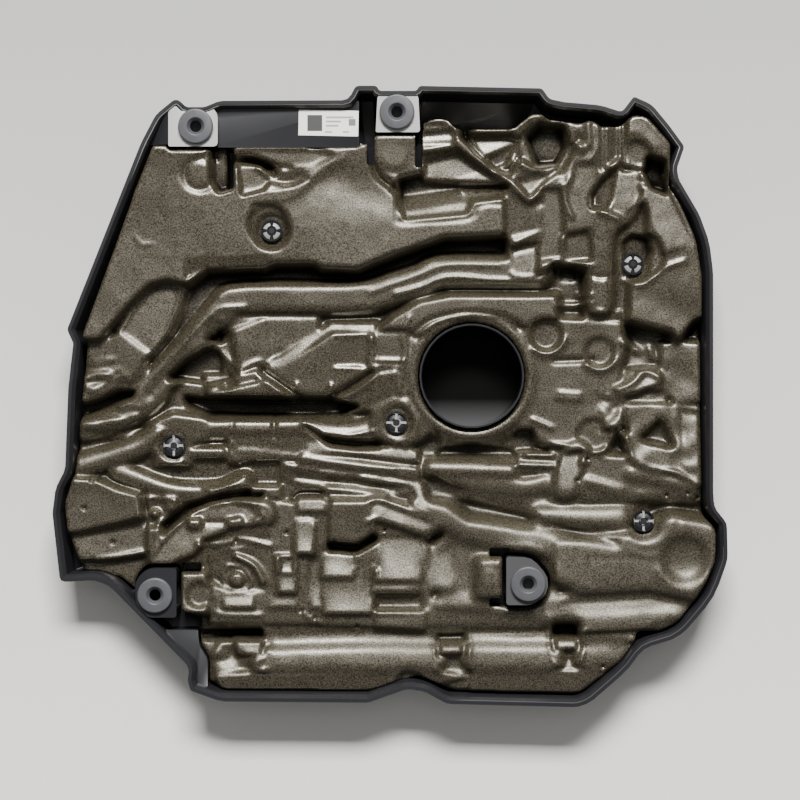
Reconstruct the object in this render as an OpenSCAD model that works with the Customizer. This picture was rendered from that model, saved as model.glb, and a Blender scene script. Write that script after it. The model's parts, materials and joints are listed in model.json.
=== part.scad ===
// Engine cover, lying on its show face with the engine side up.
// Plan places are millimetres from the drawing's datum; at() moves them to the part's own frame,
// whose origin is the middle of the footprint on the surface that the cover lies on.

/* [Cover] */
// Length across the rim, left to right
cover_x = 540; // [520:1:600]
// Width across the rim, front to back
cover_y = 497; // [480:1:560]
// Height of the rim above the show face
rim_z = 50; // [46:0.5:56]
// Thickness of the moulded wall
wall = 2.5; // [2:0.1:3.2]
// Width of the lip outside the skirt
lip_w = 3; // [2:0.25:3.5]
// Thickness of the lip
lip_t = 3; // [2:0.25:5]
// Height of the sloped border round the show face
crown_h = 10; // [7:0.5:13]
// Depth of the styling grooves in the show face
groove_d = 1.2; // [0.6:0.1:1.6]

/* [Brackets] */
// Thickness of a bracket's top plate
plate_t = 3.5; // [3:0.25:5]
// Radius of the hole for a grommet in its bracket
seat_r = 9.5; // [8:0.25:10.5]
// Depth of the bracket plates below the rim
plate_drop = 0.5; // [0.25:0.25:1.5]
// Depth of the label ledge below the rim
ledge_drop = 7; // [5:0.5:10]
// Depth of the corner shelf below the rim
shelf_drop = 12; // [8:0.5:16]

/* [Grommets] */
// Radius of a grommet's flange
flange_r = 14; // [12.5:0.25:14.5]
// Height of the flange above its plate
flange_t = 4; // [3:0.25:5]
// Radius of the socket's mouth
mouth_r = 7; // [6:0.25:7.5]
// Radius of the socket's throat
throat_r = 4.5; // [3.5:0.25:5]
// Length of the throat
throat_l = 3; // [2:0.25:3.5]
// Radius of the ball space behind the throat
ball_r = 5.5; // [5:0.25:6.5]

/* [Foam] */
// Height of the foam's top faces above the show face
foam_z = 52; // [49:0.5:56]
// Clearance between the foam and the shell
foam_gap = 0.3; // [0.2:0.05:0.6]
// Clearance between the foam and the bracket towers
tower_gap = 3; // [2:0.25:4]
// Clearance between the foam and the ledges
ledge_gap = 1; // [0.5:0.25:2]
// Width of the slots beside the bracket tongues
slot_w = 6; // [4:0.25:8]

/* [Filler well] */
// Radius of the round well in the foam
well_r = 43.3; // [40:0.1:46]
// Clearance between the foam and the collar
collar_gap = 1.3; // [0.8:0.1:2]
// Height of the collar's rim above the show face
collar_z = 46; // [36:0.5:48]

/* [Clips] */
// Radius of a push-on retainer
clip_r = 8.8; // [8:0.1:9.5]
// Height of a retainer
clip_h = 4; // [3:0.25:5]
// Radius of the studs that carry the retainers
stud_r = 2.5; // [2:0.1:3]
// Clearance round a stud
stud_gap = 0.2; // [0.2:0.05:0.4]

/* [Label] */
// Length of the label
label_x = 48; // [40:0.5:52]
// Width of the label
label_y = 20.5; // [16:0.5:22]
// Thickness of the label
label_t = 0.3; // [0.2:0.05:0.5]

/* [Hidden] */

eps = 0.01;
chord_gap = 0.3;        // farthest that a facet lies inside its arc
least_r = 1;            // least radius that sets the facets of a corner
straight = 89.5;        // half angle from which a corner counts as straight
tight_r = 0.4;          // least rounding of a corner that an inset sharpens
skirt_taper = 0.99;     // size of the skirt's foot against its rim
crown_taper = 0.86;     // size of the show face against the skirt's foot
foot = skirt_taper * crown_taper;
stretch = [cover_x / 540, cover_y / 497];

// Rim of the cover, clockwise from the lower left: [x, y, corner radius]
RIM = [
    [-267.5, -150, 4], [-273.7, -95, 12], [-271.2, -75, 16], [-263.5, -60, 12], [-261, 5, 60],
    [-257, 41, 3], [-262, 52, 5], [-234, 122, 60], [-203, 201, 60], [-191, 224, 20], [-174.5, 237.5, 5],
    [-166.5, 230, 3], [-152, 230, 8], [-140, 235, 12], [-60, 235.5, 10], [-37, 235.5, 8],
    [-31, 247.1, 4], [-14.5, 247.1, 2], [-12, 243, 2], [17.5, 243, 2], [20, 247, 2], [118, 245, 4],
    [124, 236.5, 6], [136, 234, 10], [165, 231.5, 30], [182, 226, 4], [191.5, 238.5, 2], [206, 232, 18],
    [220, 215, 30], [232, 198.5, 4], [226, 181, 6], [227.5, 172, 10], [244, 144, 25], [252, 122, 40],
    [255, 98, 40], [255, -82, 40], [256.5, -91, 8], [266, -103, 10], [266.7, -132, 25], [256, -162, 60],
    [232, -190, 20], [222, -196, 12], [199, -203, 20], [188, -218, 12], [180, -226, 14],
    [157, -246, 18], [147, -250.1, 20], [42, -247.5, 15], [24, -237.5, 14], [10, -235.5, 14],
    [-21, -246.5, 8], [-139, -245.5, 20], [-163, -237, 4], [-165.5, -229, 6], [-164, -218, 16],
    [-172, -210, 12], [-228, -153, 20], [-240, -148.5, 20]];

// Outline of the foam, clockwise from the lower left: [x, y, corner radius]
FOAM = [
    [-251, -142, 8], [-262, -112, 10], [-265, -88, 12], [-257, -64, 6], [-255.5, -52, 12], [-250.5, 0, 20],
    [-247, 38, 3], [-249.5, 48, 5], [-226, 112, 40], [-211.5, 152, 10], [-208, 163, 8], [-197.5, 189, 6],
    [-193.5, 199, 2], [-90, 200, 20], [-63, 196.3, 20],
    [-38, 199, 8], [-28, 201, 5], [-22, 200, 2], [-15, 207, 2], [17, 207, 2], [22, 216, 2], [30, 220, 4],
    [42, 220, 6], [49, 212.5, 6], [95, 212.5, 8], [110, 224.5, 7], [118, 224.5, 5], [123, 220, 6],
    [149, 217, 8], [158, 220, 6], [165, 214.5, 6], [181, 214.5, 12], [191, 224, 8], [202, 222.5, 10],
    [221, 201, 8], [220, 166, 10], [229, 152, 20], [241, 125, 30], [246, 95, 30], [246.5, -80, 20],
    [249, -98, 12], [257.5, -108, 10], [257.5, -134, 25], [246, -159, 40], [228, -183, 16], [214, -190, 10],
    [195, -190.5, 4], [193, -200, 8], [178, -219, 14], [150, -241, 20], [48, -239, 12], [20, -226, 12],
    [-18, -239, 8], [-140, -237.5, 14], [-150, -229, 6], [-150, -213, 10], [-158, -201, 6],
    [-159, -178, 2], [-209, -157, 3], [-222, -147, 8]];

// Brackets: grommet's place, plate outline (clockwise) and the turn of the tower's open side
BRACKETS = [
    [[-159, 214.5], [[-181, 198.6, 1], [-181, 226, 2], [-176, 232, 2], [-170, 226, 2], [-165, 230.5, 2],
        [-141.5, 230.5, 9], [-141.5, 198.6, 3]], -90],
    [[2, 226], [[-15, 210, 1], [-13.5, 240, 3], [19, 240, 3], [20.5, 210, 2]], -90],
    [[-191.5, -160.5], [[-174.5, -178.5, 2], [-198, -178.5, 8], [-207, -168, 12], [-207.5, -150, 10],
        [-199, -139, 14], [-174.5, -139, 2]], 0],
    [[107, -151.5], [[89.5, -129.5, 2], [110, -130.5, 14], [123.5, -146, 14], [122, -160, 12],
        [110, -168.5, 12], [89.5, -168.5, 2]], 180]];

// Ledges inside the rim: outline (clockwise), depth below the rim, place and width of the open side
LEDGES = [
    [[[-142.5, 198.4, 1], [-142.5, 236, 1], [-28.5, 236, 1], [-28.5, 198.4, 1]], ledge_drop, [-40, 214], 20],
    [[[-190, -189, 2], [-158.5, -189.5, 1], [-157, -203, 6], [-150.5, -213, 6], [-150.5, -238, 1],
        [-166, -238, 1], [-166, -216, 6]], shelf_drop, [-164, -197], 8]];

// Push-on retainers: place and depth of the foam face below them
CLIPS = [[-98.5, 131.5, 10], [191.5, 105, 13], [1.5, -22.5, 14], [-177.5, -41, 16], [200, -101.5, 13]];

well_at = [62, 15];
label_x_at = -53;       // place of the label along the upper edge
label_edge = 235.5;     // place of the rim beside it
label_gap = 1.75;       // clearance between the label and the skirt
label_turn = -1.2;

// Unit vector from one point towards another
function towards(a, b) = (b - a) / norm(b - a);

// Points of one rounded corner, b, between its neighbours a and c
function corner(a, b, c, r, step) =
    let (u = towards(b, a), v = towards(b, c), half = acos(max(-1, min(1, u * v))) / 2)
    half > straight ? [b] :
    let (reach = min(r / tan(half), 0.48 * norm(a - b), 0.48 * norm(c - b)), rr = reach * tan(half),
         mid = b + (u + v) / norm(u + v) * rr / sin(half),
         n = max(1, ceil((180 - 2 * half) / step - eps)),
         p = b + u * reach - mid, q = b + v * reach - mid, start = atan2(p.y, p.x),
         raw = atan2(q.y, q.x) - start, turn = raw > 180 ? raw - 360 : raw < -180 ? raw + 360 : raw)
    [for (i = [0:n]) mid + rr * [cos(start + turn * i / n), sin(start + turn * i / n)]];

// Degrees of turn for each point of a rounded corner
function facet_turn(r) = 2 * acos(1 - chord_gap / max(r, least_r));

// Corner list at its place on the drawing, each corner with the turn of its facets
function placed(c) = [for (k = c) [k.x * stretch.x, k.y * stretch.y, k[2], facet_turn(k[2])]];

// Closed outline with every corner rounded
function rounded(c) =
    let (n = len(c), p = [for (k = c) [k.x, k.y]])
    [for (i = [0:n - 1]) each corner(p[(i + n - 1) % n], p[i], p[(i + 1) % n], c[i][2], c[i][3])];

// Clockwise corner list moved inwards, with its rounding fitted to the new edge
function inset(c, d) =
    let (n = len(c), p = [for (k = c) [k.x, k.y]])
    [for (i = [0:n - 1])
        let (e = towards(p[(i + n - 1) % n], p[i]), f = towards(p[i], p[(i + 1) % n]),
             q = p[i] + d * [e.y + f.y, -e.x - f.x] / (1 + e * f))
        [q.x, q.y, max(c[i][2] - d * sign(e.y * f.x - e.x * f.y), tight_r), c[i][3]]];

raw_rim = rounded(placed(RIM));
rim_xs = [for (p = raw_rim) p.x];
rim_ys = [for (p = raw_rim) p.y];
middle = [min(rim_xs) + max(rim_xs), min(rim_ys) + max(rim_ys)] / 2;

// Place on the drawing, in the part's own frame
function at(p) = [p.x * stretch.x - middle.x, p.y * stretch.y - middle.y];
function outline(c, d = 0) = [for (p = rounded(inset(placed(c), d))) p - middle];

// Rim outline moved in by d, at a share of its size and at a height
function ring(d, size, z) = [for (p = outline(RIM, d)) [p.x * size, p.y * size, z]];

plate_z = rim_z - plate_drop;
cavity_inset = lip_w + wall;
rim_face = cavity_inset / 2;  // flat width of the rim, inside which it slopes into the cavity
rim_fall = 3.5;         // height of that slope
collar_r = well_r - collar_gap;
bulb_r = seat_r + 0.8;
bulb_h = 11;
lead = 0.2;             // clearance of a grommet in its plate
door_reach = 22;        // how far the open side of a tower reaches from its middle
tube_sides = 10;        // facets round a moulded pipe form
form_r = 1.5;           // rounding of a relief form's corners
collar_t = 2;           // thickness of the well's collar
groove_w = 7;           // width of the grooves in the show face
cheek_drop = 11;        // fall of the sloped cheek
cheek_run = 20;         // its run towards the skirt
cheek_l = 25.6;         // its length along the tower
cone_h = 3;             // depth of the socket's funnel mouth

// Solid whose side runs from ring to ring, closed across the first and the last
module skin(rings) {
    n = len(rings[0]);
    last = len(rings) - 1;
    polyhedron(points = [for (r = rings) each r],
        faces = [[for (i = [n - 1:-1:0]) i], [for (i = [0:n - 1]) last * n + i],
            for (k = [0:last - 1], i = [0:n - 1])
                let (j = (i + 1) % n) each [[k * n + i, k * n + j, (k + 1) * n + j],
                                            [k * n + i, (k + 1) * n + j, (k + 1) * n + i]]]);
}

// Solid tray, its side moved in and its floor lifted
module tray(d, lift)
    skin([ring(d, foot, lift), ring(d, skirt_taper, crown_h + lift), ring(d, 1, rim_z + lift)]);

// Moulded wall: up the outside from the show face, over the lip and down the inside
module shell_wall() skin([
    ring(lip_w, foot, 0), ring(lip_w, skirt_taper, crown_h), ring(lip_w, 1, rim_z - lip_t),
    ring(0, 1, rim_z - lip_t), ring(0, 1, rim_z), ring(rim_face, 1, rim_z),
    ring(cavity_inset, 1, rim_z - rim_fall),
    ring(cavity_inset, skirt_taper, crown_h + wall), ring(cavity_inset, foot, wall)]);

// Hollow block of an outline, open through one side wall
module hollow(corners, top, roof, door_at, door_turn, door_w) {
    difference() {
        translate([0, 0, wall / 2]) linear_extrude(top - wall / 2) polygon(outline(corners));
        translate([0, 0, wall]) linear_extrude(top - roof - wall) polygon(outline(corners, wall));
        translate([at(door_at).x, at(door_at).y, wall]) rotate(door_turn)
            translate([0, -door_w / 2, 0]) cube([door_reach, door_w, top - roof - wall]);
    }
}

// Room for a grommet in its plate: flange above, neck through, bulb below
module grommet_room(place) {
    translate([at(place).x, at(place).y, plate_z]) {
        cylinder(h = flange_t, r = flange_r + lead);
        translate([0, 0, -plate_t - 1]) cylinder(h = plate_t + 2, r = seat_r);
        translate([0, 0, -plate_t - bulb_h - lead]) cylinder(h = bulb_h + lead, r = bulb_r + lead);
    }
}

// Groove in the show face from one place to another
module style_groove(a, b, w) {
    d = at(b) - at(a);
    translate([at(a).x, at(a).y, -1]) rotate(atan2(d.y, d.x)) {
        translate([0, -w / 2, 0]) cube([norm(d), w, groove_d + 1]);
        cylinder(h = groove_d + 1, r = w / 2);
        translate([norm(d), 0, 0]) cylinder(h = groove_d + 1, r = w / 2);
    }
}

// Sloped cheek that ties the upper left tower to the skirt
module cheek() {
    a = at([-181 + wall, 226]);
    translate([a.x, a.y, plate_z]) rotate([90, 0, 0]) linear_extrude(cheek_l)
        polygon([[0, 0], [-cheek_run, -cheek_drop], [-cheek_run, -cheek_drop - wall], [0, -plate_t]]);
}

module cover_shell() color("#1d1d1f") {
    difference() {
        union() {
            shell_wall();
            intersection() {
                union() {
                    for (b = BRACKETS) hollow(b[1], plate_z, plate_t, b[0], b[2], 2 * bulb_r);
                    for (e = LEDGES) hollow(e[0], rim_z - e[1], wall, e[2], 0, e[3]);
                    cheek();
                }
                tray(lip_w + wall / 2, wall / 2);
            }
            translate([at(well_at).x, at(well_at).y, wall / 2]) difference() {
                cylinder(h = collar_z - wall / 2, r = collar_r);
                translate([0, 0, -1]) cylinder(h = collar_z + 1, r = collar_r - collar_t);
            }
            for (c = CLIPS)
                translate([at(c).x, at(c).y, wall / 2])
                    cylinder(h = foam_z - c[2] + clip_h - wall / 2, r = stud_r);
        }
        for (b = BRACKETS) grommet_room(b[0]);
        style_groove([-190, 120], [150, 90], groove_w);
        style_groove([-190, -110], [150, -90], groove_w);
    }
}

// Foam relief. Depths are measured down from the foam's top faces.
floor_deep = 24;        // depth of the moulded floor between the raised forms

// Corner list of a relief form, clockwise, each corner slightly round
function form(points) =
    let (n = len(points), sweep = [for (i = [0:n - 1])
            let (a = points[i], b = points[(i + 1) % n]) (b.x - a.x) * (b.y + a.y)])
    [for (i = [0:n - 1])
        let (p = points[sweep * [for (v = sweep) 1] > 0 ? i : n - 1 - i]) [p.x, p.y, form_r]];

// Outline of a form moved out by d, at a depth
function level(points, d, deep) = [for (p = outline(form(points), -d)) [p.x, p.y, -deep]];

// Raised area: top outline at a depth, walls widening downwards
module rise(points, deep, draft) skin([level(points, draft, floor_deep + 2), level(points, 0, deep)]);

// Sunk area: floor outline at a depth, walls opening upwards
module sink(points, deep, draft) skin([level(points, 0, deep), level(points, draft, -1)]);

// Raised pipe form along a path, its crest at a depth
module duct(path, r, deep) {
    for (i = [0:len(path) - 2]) hull() for (p = [path[i], path[i + 1]])
        translate([at(p).x, at(p).y, -deep - r]) sphere(r, $fn = tube_sides);
}

// Round pocket
module dish(x, y, r, deep) {
    translate([at([x, y]).x, at([x, y]).y, -deep])
        cylinder(h = deep + 1, r1 = r * 0.8, r2 = r, $fn = 20);
}

// Round raised boss
module knob(x, y, r, deep) {
    translate([at([x, y]).x, at([x, y]).y, -floor_deep - 2])
        cylinder(h = floor_deep + 2 - deep, r1 = r * 1.2, r2 = r, $fn = 20);
}

module raised_forms() {
    // Upper plateau with its wavy lower edge
    rise([[-262, 240], [50, 240], [52, 205], [88, 170], [88, 129], [40, 127], [2, 114], [-30, 101],
        [-58, 102], [-65, 106], [-96, 106], [-104, 103], [-150, 101], [-166, 89], [-183, 92],
        [-197, 88], [-215, 70], [-230, 52], [-238, 42], [-262, 42]], 0, 5);
    // Tongue below the plateau's left end
    rise([[-221, 50], [-205, 75], [-195, 86], [-188, 89], [-178, 89], [-172, 84], [-176, 68],
        [-184, 50], [-197, 33]], 7, 8);
    rise([[-262, 42], [-232, 44], [-221, 49], [-197, 32], [-205, 22], [-215, 6], [-262, -2]], 10, 5);
    // Long duct from the left edge, along the plateau and round the well
    duct([[-213, -12], [-195, 5], [-170, 32], [-150, 55], [-138, 69], [-122, 77], [-30, 78], [0, 85],
        [22, 92], [42, 99], [115, 98]], 14, 12);
    // Plates left of the well
    rise([[-100, 24], [-90, 26], [-70, 38], [-60, 46], [-48, 52], [-20, 52], [-16, 45], [-16, 18],
        [-50, 1], [-78, 1], [-103, 17]], 12, 6);
    rise([[-150, 5], [-130, 14], [-110, 20], [-104, 17], [-80, 0], [-82, -2], [-150, -2]], 12, 5);
    rise([[-14, 50], [14, 50], [25, 30], [30, -30], [10, -42], [-12, -34], [-16, -20]], 12, 5);
    // Shoulder and ring round the well
    rise([[-10, 53], [10, 53], [16, 48], [24, 50], [32, 57], [42, 61], [62, 64], [85, 62], [97, 57],
        [107, 55], [112, 60], [130, 62], [130, 79], [45, 79], [20, 74], [0, 62]], 8, 6);
    knob(62, 15, 51, 12);
    // Block right of the well
    rise([[98, 50], [105, 55], [130, 60], [182, 58], [186, 40], [180, 20], [185, 0], [180, -25],
        [168, -47], [150, -47], [128, -40], [110, -35], [100, -30]], 12, 6);
    // Plateau at the right edge, and the block in the upper right corner
    rise([[188, 60], [222, 51], [228, 45], [240, 60], [270, 70], [270, 166], [224, 166], [205, 160],
        [203, 130], [190, 95]], 2, 5);
    rise([[186, 184], [205, 180], [220, 168], [270, 168], [270, 240], [186, 240]], 3, 6);
    // Upper right field with its ducts
    rise([[55, 230], [90, 150], [96, 100], [122, 100], [128, 108], [150, 104], [160, 100], [175, 150],
        [165, 200], [165, 230]], 4, 6);
    duct([[174, 216], [174, 186]], 8, 2);
    duct([[196, 170], [182, 147], [170, 136], [166, 120], [165, 90], [165, 74]], 12, 4);
    // Clip cushion on the left and the ducts that run to it
    rise([[-196, -24], [-178, -16], [-150, -20], [-150, -34], [-165, -40], [-165, -56], [-192, -56]], 15, 6);
    duct([[-255, -2], [-228, 6], [-205, 18]], 9, 12);
    duct([[-256, -28], [-230, -22], [-206, -12], [-190, 2]], 11, 12);
    duct([[-258, -58], [-230, -51], [-205, -42], [-190, -32]], 10, 12);
    duct([[-178, -26], [-150, -27], [-98, -27], [-72, -27], [-55, -31], [-30, -31], [-10, -24]], 11, 15);
    // Lower left plates
    rise([[-268, -66], [-240, -68], [-222, -76], [-206, -80], [-203, -99], [-256, -111], [-270, -111]], 8, 3);
    rise([[-270, -112], [-203, -103], [-200, -128], [-230, -132], [-262, -134]], 15, 3);
    duct([[-222, -62], [-200, -71], [-183, -77], [-163, -79], [-140, -78], [-122, -70]], 9, 14);
    // Banana plate with two pads
    rise([[-198, -134], [-170, -106], [-150, -94], [-138, -89], [-124, -88], [-112, -91], [-105, -99],
        [-122, -103], [-138, -108], [-160, -116], [-184, -136]], 12, 3);
    knob(-160.5, -104, 5.5, 10.5);
    knob(-128, -102.5, 5.5, 10.5);
    // Tapered plate and the long ribs in the middle
    rise([[-131, -49], [-127, -44], [-112, -44], [-90, -47], [-72, -49], [-72, -51], [-128, -53]], 16, 4);
    duct([[-72, -52], [-45, -57], [-10, -61], [10, -63]], 8, 15);
    duct([[-84, -61], [-50, -66], [0, -71], [16, -76]], 7, 15);
    duct([[-50, -80], [-10, -84]], 9, 14);
    duct([[30, -60], [93, -62]], 8, 13);
    duct([[40, -66], [75, -72], [105, -75], [122, -72]], 8, 15);
    duct([[143, -45], [139, -58], [134, -72]], 8, 11);
    // Diagonal ducts below the well
    duct([[-16, -92], [6, -98], [30, -108]], 12, 10);
    duct([[24, -88], [40, -98], [65, -110], [106, -118], [146, -123], [190, -126]], 13, 10);
    duct([[118, -99], [184, -101]], 9, 11);
    rise([[-52, -86], [-16, -86], [-16, -112], [-28, -121], [-52, -119]], 10, 5);
    // Stepped blocks in the lower middle
    rise([[-78, -84], [-54, -84], [-54, -94], [-78, -94]], 12, 3);
    rise([[-80, -104], [-65, -104], [-65, -128], [-80, -128]], 8, 4);
    rise([[-96, -130], [-79, -130], [-79, -160], [-94, -160]], 10, 3);
    rise([[-102, -163], [-78, -163], [-78, -172], [-102, -172]], 13, 3);
    rise([[-60, -140], [-33, -140], [-33, -148], [-60, -148]], 12, 3);
    rise([[-57, -158], [-18, -158], [-18, -176], [-57, -176]], 10, 5);
    rise([[-68, -156], [-61, -156], [-61, -172], [-68, -172]], 14, 2);
    rise([[-15, -140], [22, -140], [22, -150], [-15, -150]], 9, 3);
    rise([[-15, -154], [20, -154], [20, -160], [-15, -160]], 13, 3);
    rise([[28, -147], [47, -147], [47, -158], [28, -158]], 12, 3);
    rise([[34, -164], [77, -165], [77, -174], [34, -172]], 12, 4);
    rise([[-137, -161], [-114, -161], [-114, -172], [-137, -172]], 12, 3);
    duct([[-124, -134], [-113, -141], [-107, -152]], 5, 18);
    knob(-127, -151, 7, 15);
    // Tongues beside the brackets
    rise([[-172, -143], [-150, -143], [-150, -176], [-172, -176]], 6, 2);
    rise([[66, -132], [89, -130], [89, -164], [66, -162]], 5, 2);
    // Long duct above the bottom rim
    duct([[-104, -217], [-40, -214], [30, -214]], 13, 12);
    duct([[64, -212], [126, -212]], 12, 12);
    duct([[153, -212], [185, -211]], 10, 13);
    rise([[-106, -176], [124, -186], [150, -190], [190, -190], [150, -240], [60, -236], [-20, -236],
        [-140, -234], [-148, -215], [-130, -180]], 20, 5);
    // Cushion in the lower right corner
    rise([[128, -118], [190, -112], [222, -96], [262, -104], [262, -140], [242, -166], [205, -157],
        [150, -160], [128, -150]], 6, 5);
    duct([[150, -185], [190, -184], [224, -181]], 13, 9);
    // Right edge below the plateau
    rise([[232, -15], [262, -15], [262, -70], [244, -72], [226, -64], [212, -60]], 10, 6);
    rise([[184, -32], [198, -36], [222, -46], [226, -60], [208, -60], [190, -50]], 10, 3);
    duct([[178, 2], [196, 12], [212, 10]], 8, 12);
    duct([[188, -74], [218, -76], [240, -80]], 8, 14);
}

module sunk_forms() {
    // Pockets in the upper plateau
    sink([[-122, 186], [-114, 180], [-102, 171], [-105, 164], [-122, 158]], 5, 2);
    sink([[-128, 186], [-106, 186], [-98, 177], [-78, 175], [-90, 184], [-110, 190]], 10, 4);
    sink([[24, 172], [24, 188], [52, 194], [74, 178], [50, 172]], 9, 4);
    sink([[8, 150], [4, 166], [22, 171], [84, 169], [88, 163], [58, 158], [54, 150]], 12, 6);
    sink([[60, 207], [94, 207], [100, 190], [92, 178], [78, 184], [64, 200]], 14, 4);
    sink([[100, 171], [122, 176], [108, 158]], 12, 2);
    dish(120, 199, 18, 20);
    sink([[96, 140], [104, 150], [128, 160], [134, 110], [92, 104]], 9, 5);
    sink([[94, 101], [115, 101], [115, 118], [94, 112]], 14, 2);
    dish(196, 193, 12, 8);
    // Hollows between the ducts
    sink([[-178, 14], [-165, 25], [-150, 34], [-142, 32], [-142, 14], [-160, 11]], 30, 4);
    sink([[-150, -5], [-30, -5], [-20, -12], [-40, -18], [-150, -18]], 30, 4);
    sink([[134, 92], [146, 92], [146, 102], [134, 102]], 26, 2);
    sink([[188, 56], [220, 48], [214, 44], [188, 46]], 22, 4);
    sink([[222, -22], [223, -40], [202, -40], [200, -36]], 30, 3);
    sink([[22, -68], [32, -68], [56, -78], [46, -86], [30, -84]], 22, 3);
    sink([[48, -88], [60, -88], [112, -102], [60, -98]], 28, 3);
    sink([[-18, -114], [22, -120], [22, -130], [-50, -130], [-50, -124], [-28, -124]], 28, 4);
    sink([[-152, -190], [-108, -192], [-108, -198], [-150, -198]], 30, 2);
    // Round recesses
    dish(-155, 176, 11.5, 4);
    dish(0, 190, 11.5, 1.5);
    dish(122, 48, 15, 17);
    dish(165, 34, 14, 16);
    dish(160, -33, 16, 15);
    dish(200, -176, 9, 9.5);
    dish(233, -132, 19, 15);
    dish(-157, -160, 10.5, 8);
    dish(76.5, -148, 10, 7);
    // Windows in the long bottom duct
    sink([[-126, -201], [-107, -201], [-107, -209], [-126, -209]], 22, 4);
    sink([[36, -201], [55, -201], [55, -210], [36, -210]], 24, 5);
    sink([[129, -192], [148, -192], [148, -205], [129, -205]], 24, 5);
    // Pockets of the push-on retainers
    for (c = CLIPS)
        translate([at(c).x, at(c).y, -c[2]])
            cylinder(h = c[2] + 1, r1 = clip_r + 2, r2 = clip_r + 5, $fn = 24);
}

// Block that the moulded floor is cut from
module foam_blank() {
    translate([-cover_x / 2, -cover_y / 2, -foam_z - 1]) cube([cover_x, cover_y, foam_z + 1 - floor_deep]);
}

module foam_inlay() color("#5d5647") {
    intersection() {
        difference() {
            translate([0, 0, foam_z]) difference() {
                union() {
                    foam_blank();
                    raised_forms();
                }
                sunk_forms();
            }
            for (b = BRACKETS) linear_extrude(foam_z + 1) polygon(outline(b[1], -tower_gap));
            for (e = LEDGES) linear_extrude(foam_z + 1) polygon(outline(e[0], -ledge_gap));
            translate([at(well_at).x, at(well_at).y, 0]) cylinder(h = foam_z + 1, r = well_r, $fn = 64);
            for (c = CLIPS)
                translate([at(c).x, at(c).y, 0])
                    cylinder(h = foam_z, r = stud_r + stud_gap * 3, $fn = 16);
            for (s = [[-19, 184], [19.5, 182], [-132, 165]])
                translate([at(s).x - slot_w / 2, at(s).y, 0]) cube([slot_w, 50, foam_z + 1]);
            for (s = [[-172, -143], [-172, -187.5], [76.5, -130.5], [76.5, -170.5]])
                translate([at(s).x, at(s).y, 0]) cube([16, slot_w + 1, foam_z + 1]);
        }
        linear_extrude(foam_z + 1) polygon(outline(FOAM));
        tray(cavity_inset + foam_gap, wall + foam_gap);
    }
}

// Push-on retainer: cup with a cross of ribs round the stud
module clip(c) color("#141416")
    translate([at(c).x, at(c).y, foam_z - c[2]]) difference() {
        union() {
            difference() {
                cylinder(h = clip_h, r = clip_r);
                translate([0, 0, clip_h / 3]) cylinder(h = clip_h, r = clip_r - 1.4);
            }
            for (turn = [0, 90])
                rotate(turn) translate([-clip_r + 1, -0.9, 0]) cube([2 * clip_r - 2, 1.8, clip_h - 0.5]);
            cylinder(h = clip_h, r = stud_r + 1.5);
        }
        translate([0, 0, -1]) cylinder(h = clip_h + 2, r = stud_r + stud_gap);
    }

// Rubber ball socket, pressed into the hole of a bracket plate
module grommet(b) color("#3a3a3c")
    translate([at(b[0]).x, at(b[0]).y, plate_z]) rotate_extrude($fn = 48) polygon([
        [mouth_r, flange_t], [flange_r - 0.8, flange_t], [flange_r, flange_t - 0.8], [flange_r, 0],
        [seat_r - lead, 0], [seat_r - lead, -plate_t], [bulb_r, -plate_t], [bulb_r, -plate_t - 3],
        [ball_r + 2.5, -plate_t - bulb_h], [0, -plate_t - bulb_h], [0, -plate_t - bulb_h + 2.5],
        [ball_r, -plate_t - bulb_h + 4], [ball_r, -plate_t - 1],
        [throat_r, flange_t - cone_h - throat_l], [throat_r, flange_t - cone_h]]);

// Middle of the label, which keeps its clearance to the skirt
function label_at() = let (edge = at([label_x_at, label_edge]))
    [edge.x, edge.y - cavity_inset - label_gap - label_y / 2, rim_z - ledge_drop];

module label() color("#eeeade")
    translate(label_at()) rotate(label_turn)
        translate([-label_x / 2, -label_y / 2, 0]) cube([label_x, label_y, label_t]);

module clip_1() clip(CLIPS[0]);
module clip_2() clip(CLIPS[1]);
module clip_3() clip(CLIPS[2]);
module clip_4() clip(CLIPS[3]);
module clip_5() clip(CLIPS[4]);
module grommet_1() grommet(BRACKETS[0]);
module grommet_2() grommet(BRACKETS[1]);
module grommet_3() grommet(BRACKETS[2]);
module grommet_4() grommet(BRACKETS[3]);

cover_shell();
foam_inlay();
clip_1();
clip_2();
clip_3();
clip_4();
clip_5();
grommet_1();
grommet_2();
grommet_3();
grommet_4();
label();
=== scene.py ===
import json
import math

import bmesh
import bpy
import numpy as np
from mathutils import Matrix, Vector
from mathutils.bvhtree import BVHTree
from mathutils.geometry import delaunay_2d_cdt


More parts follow.
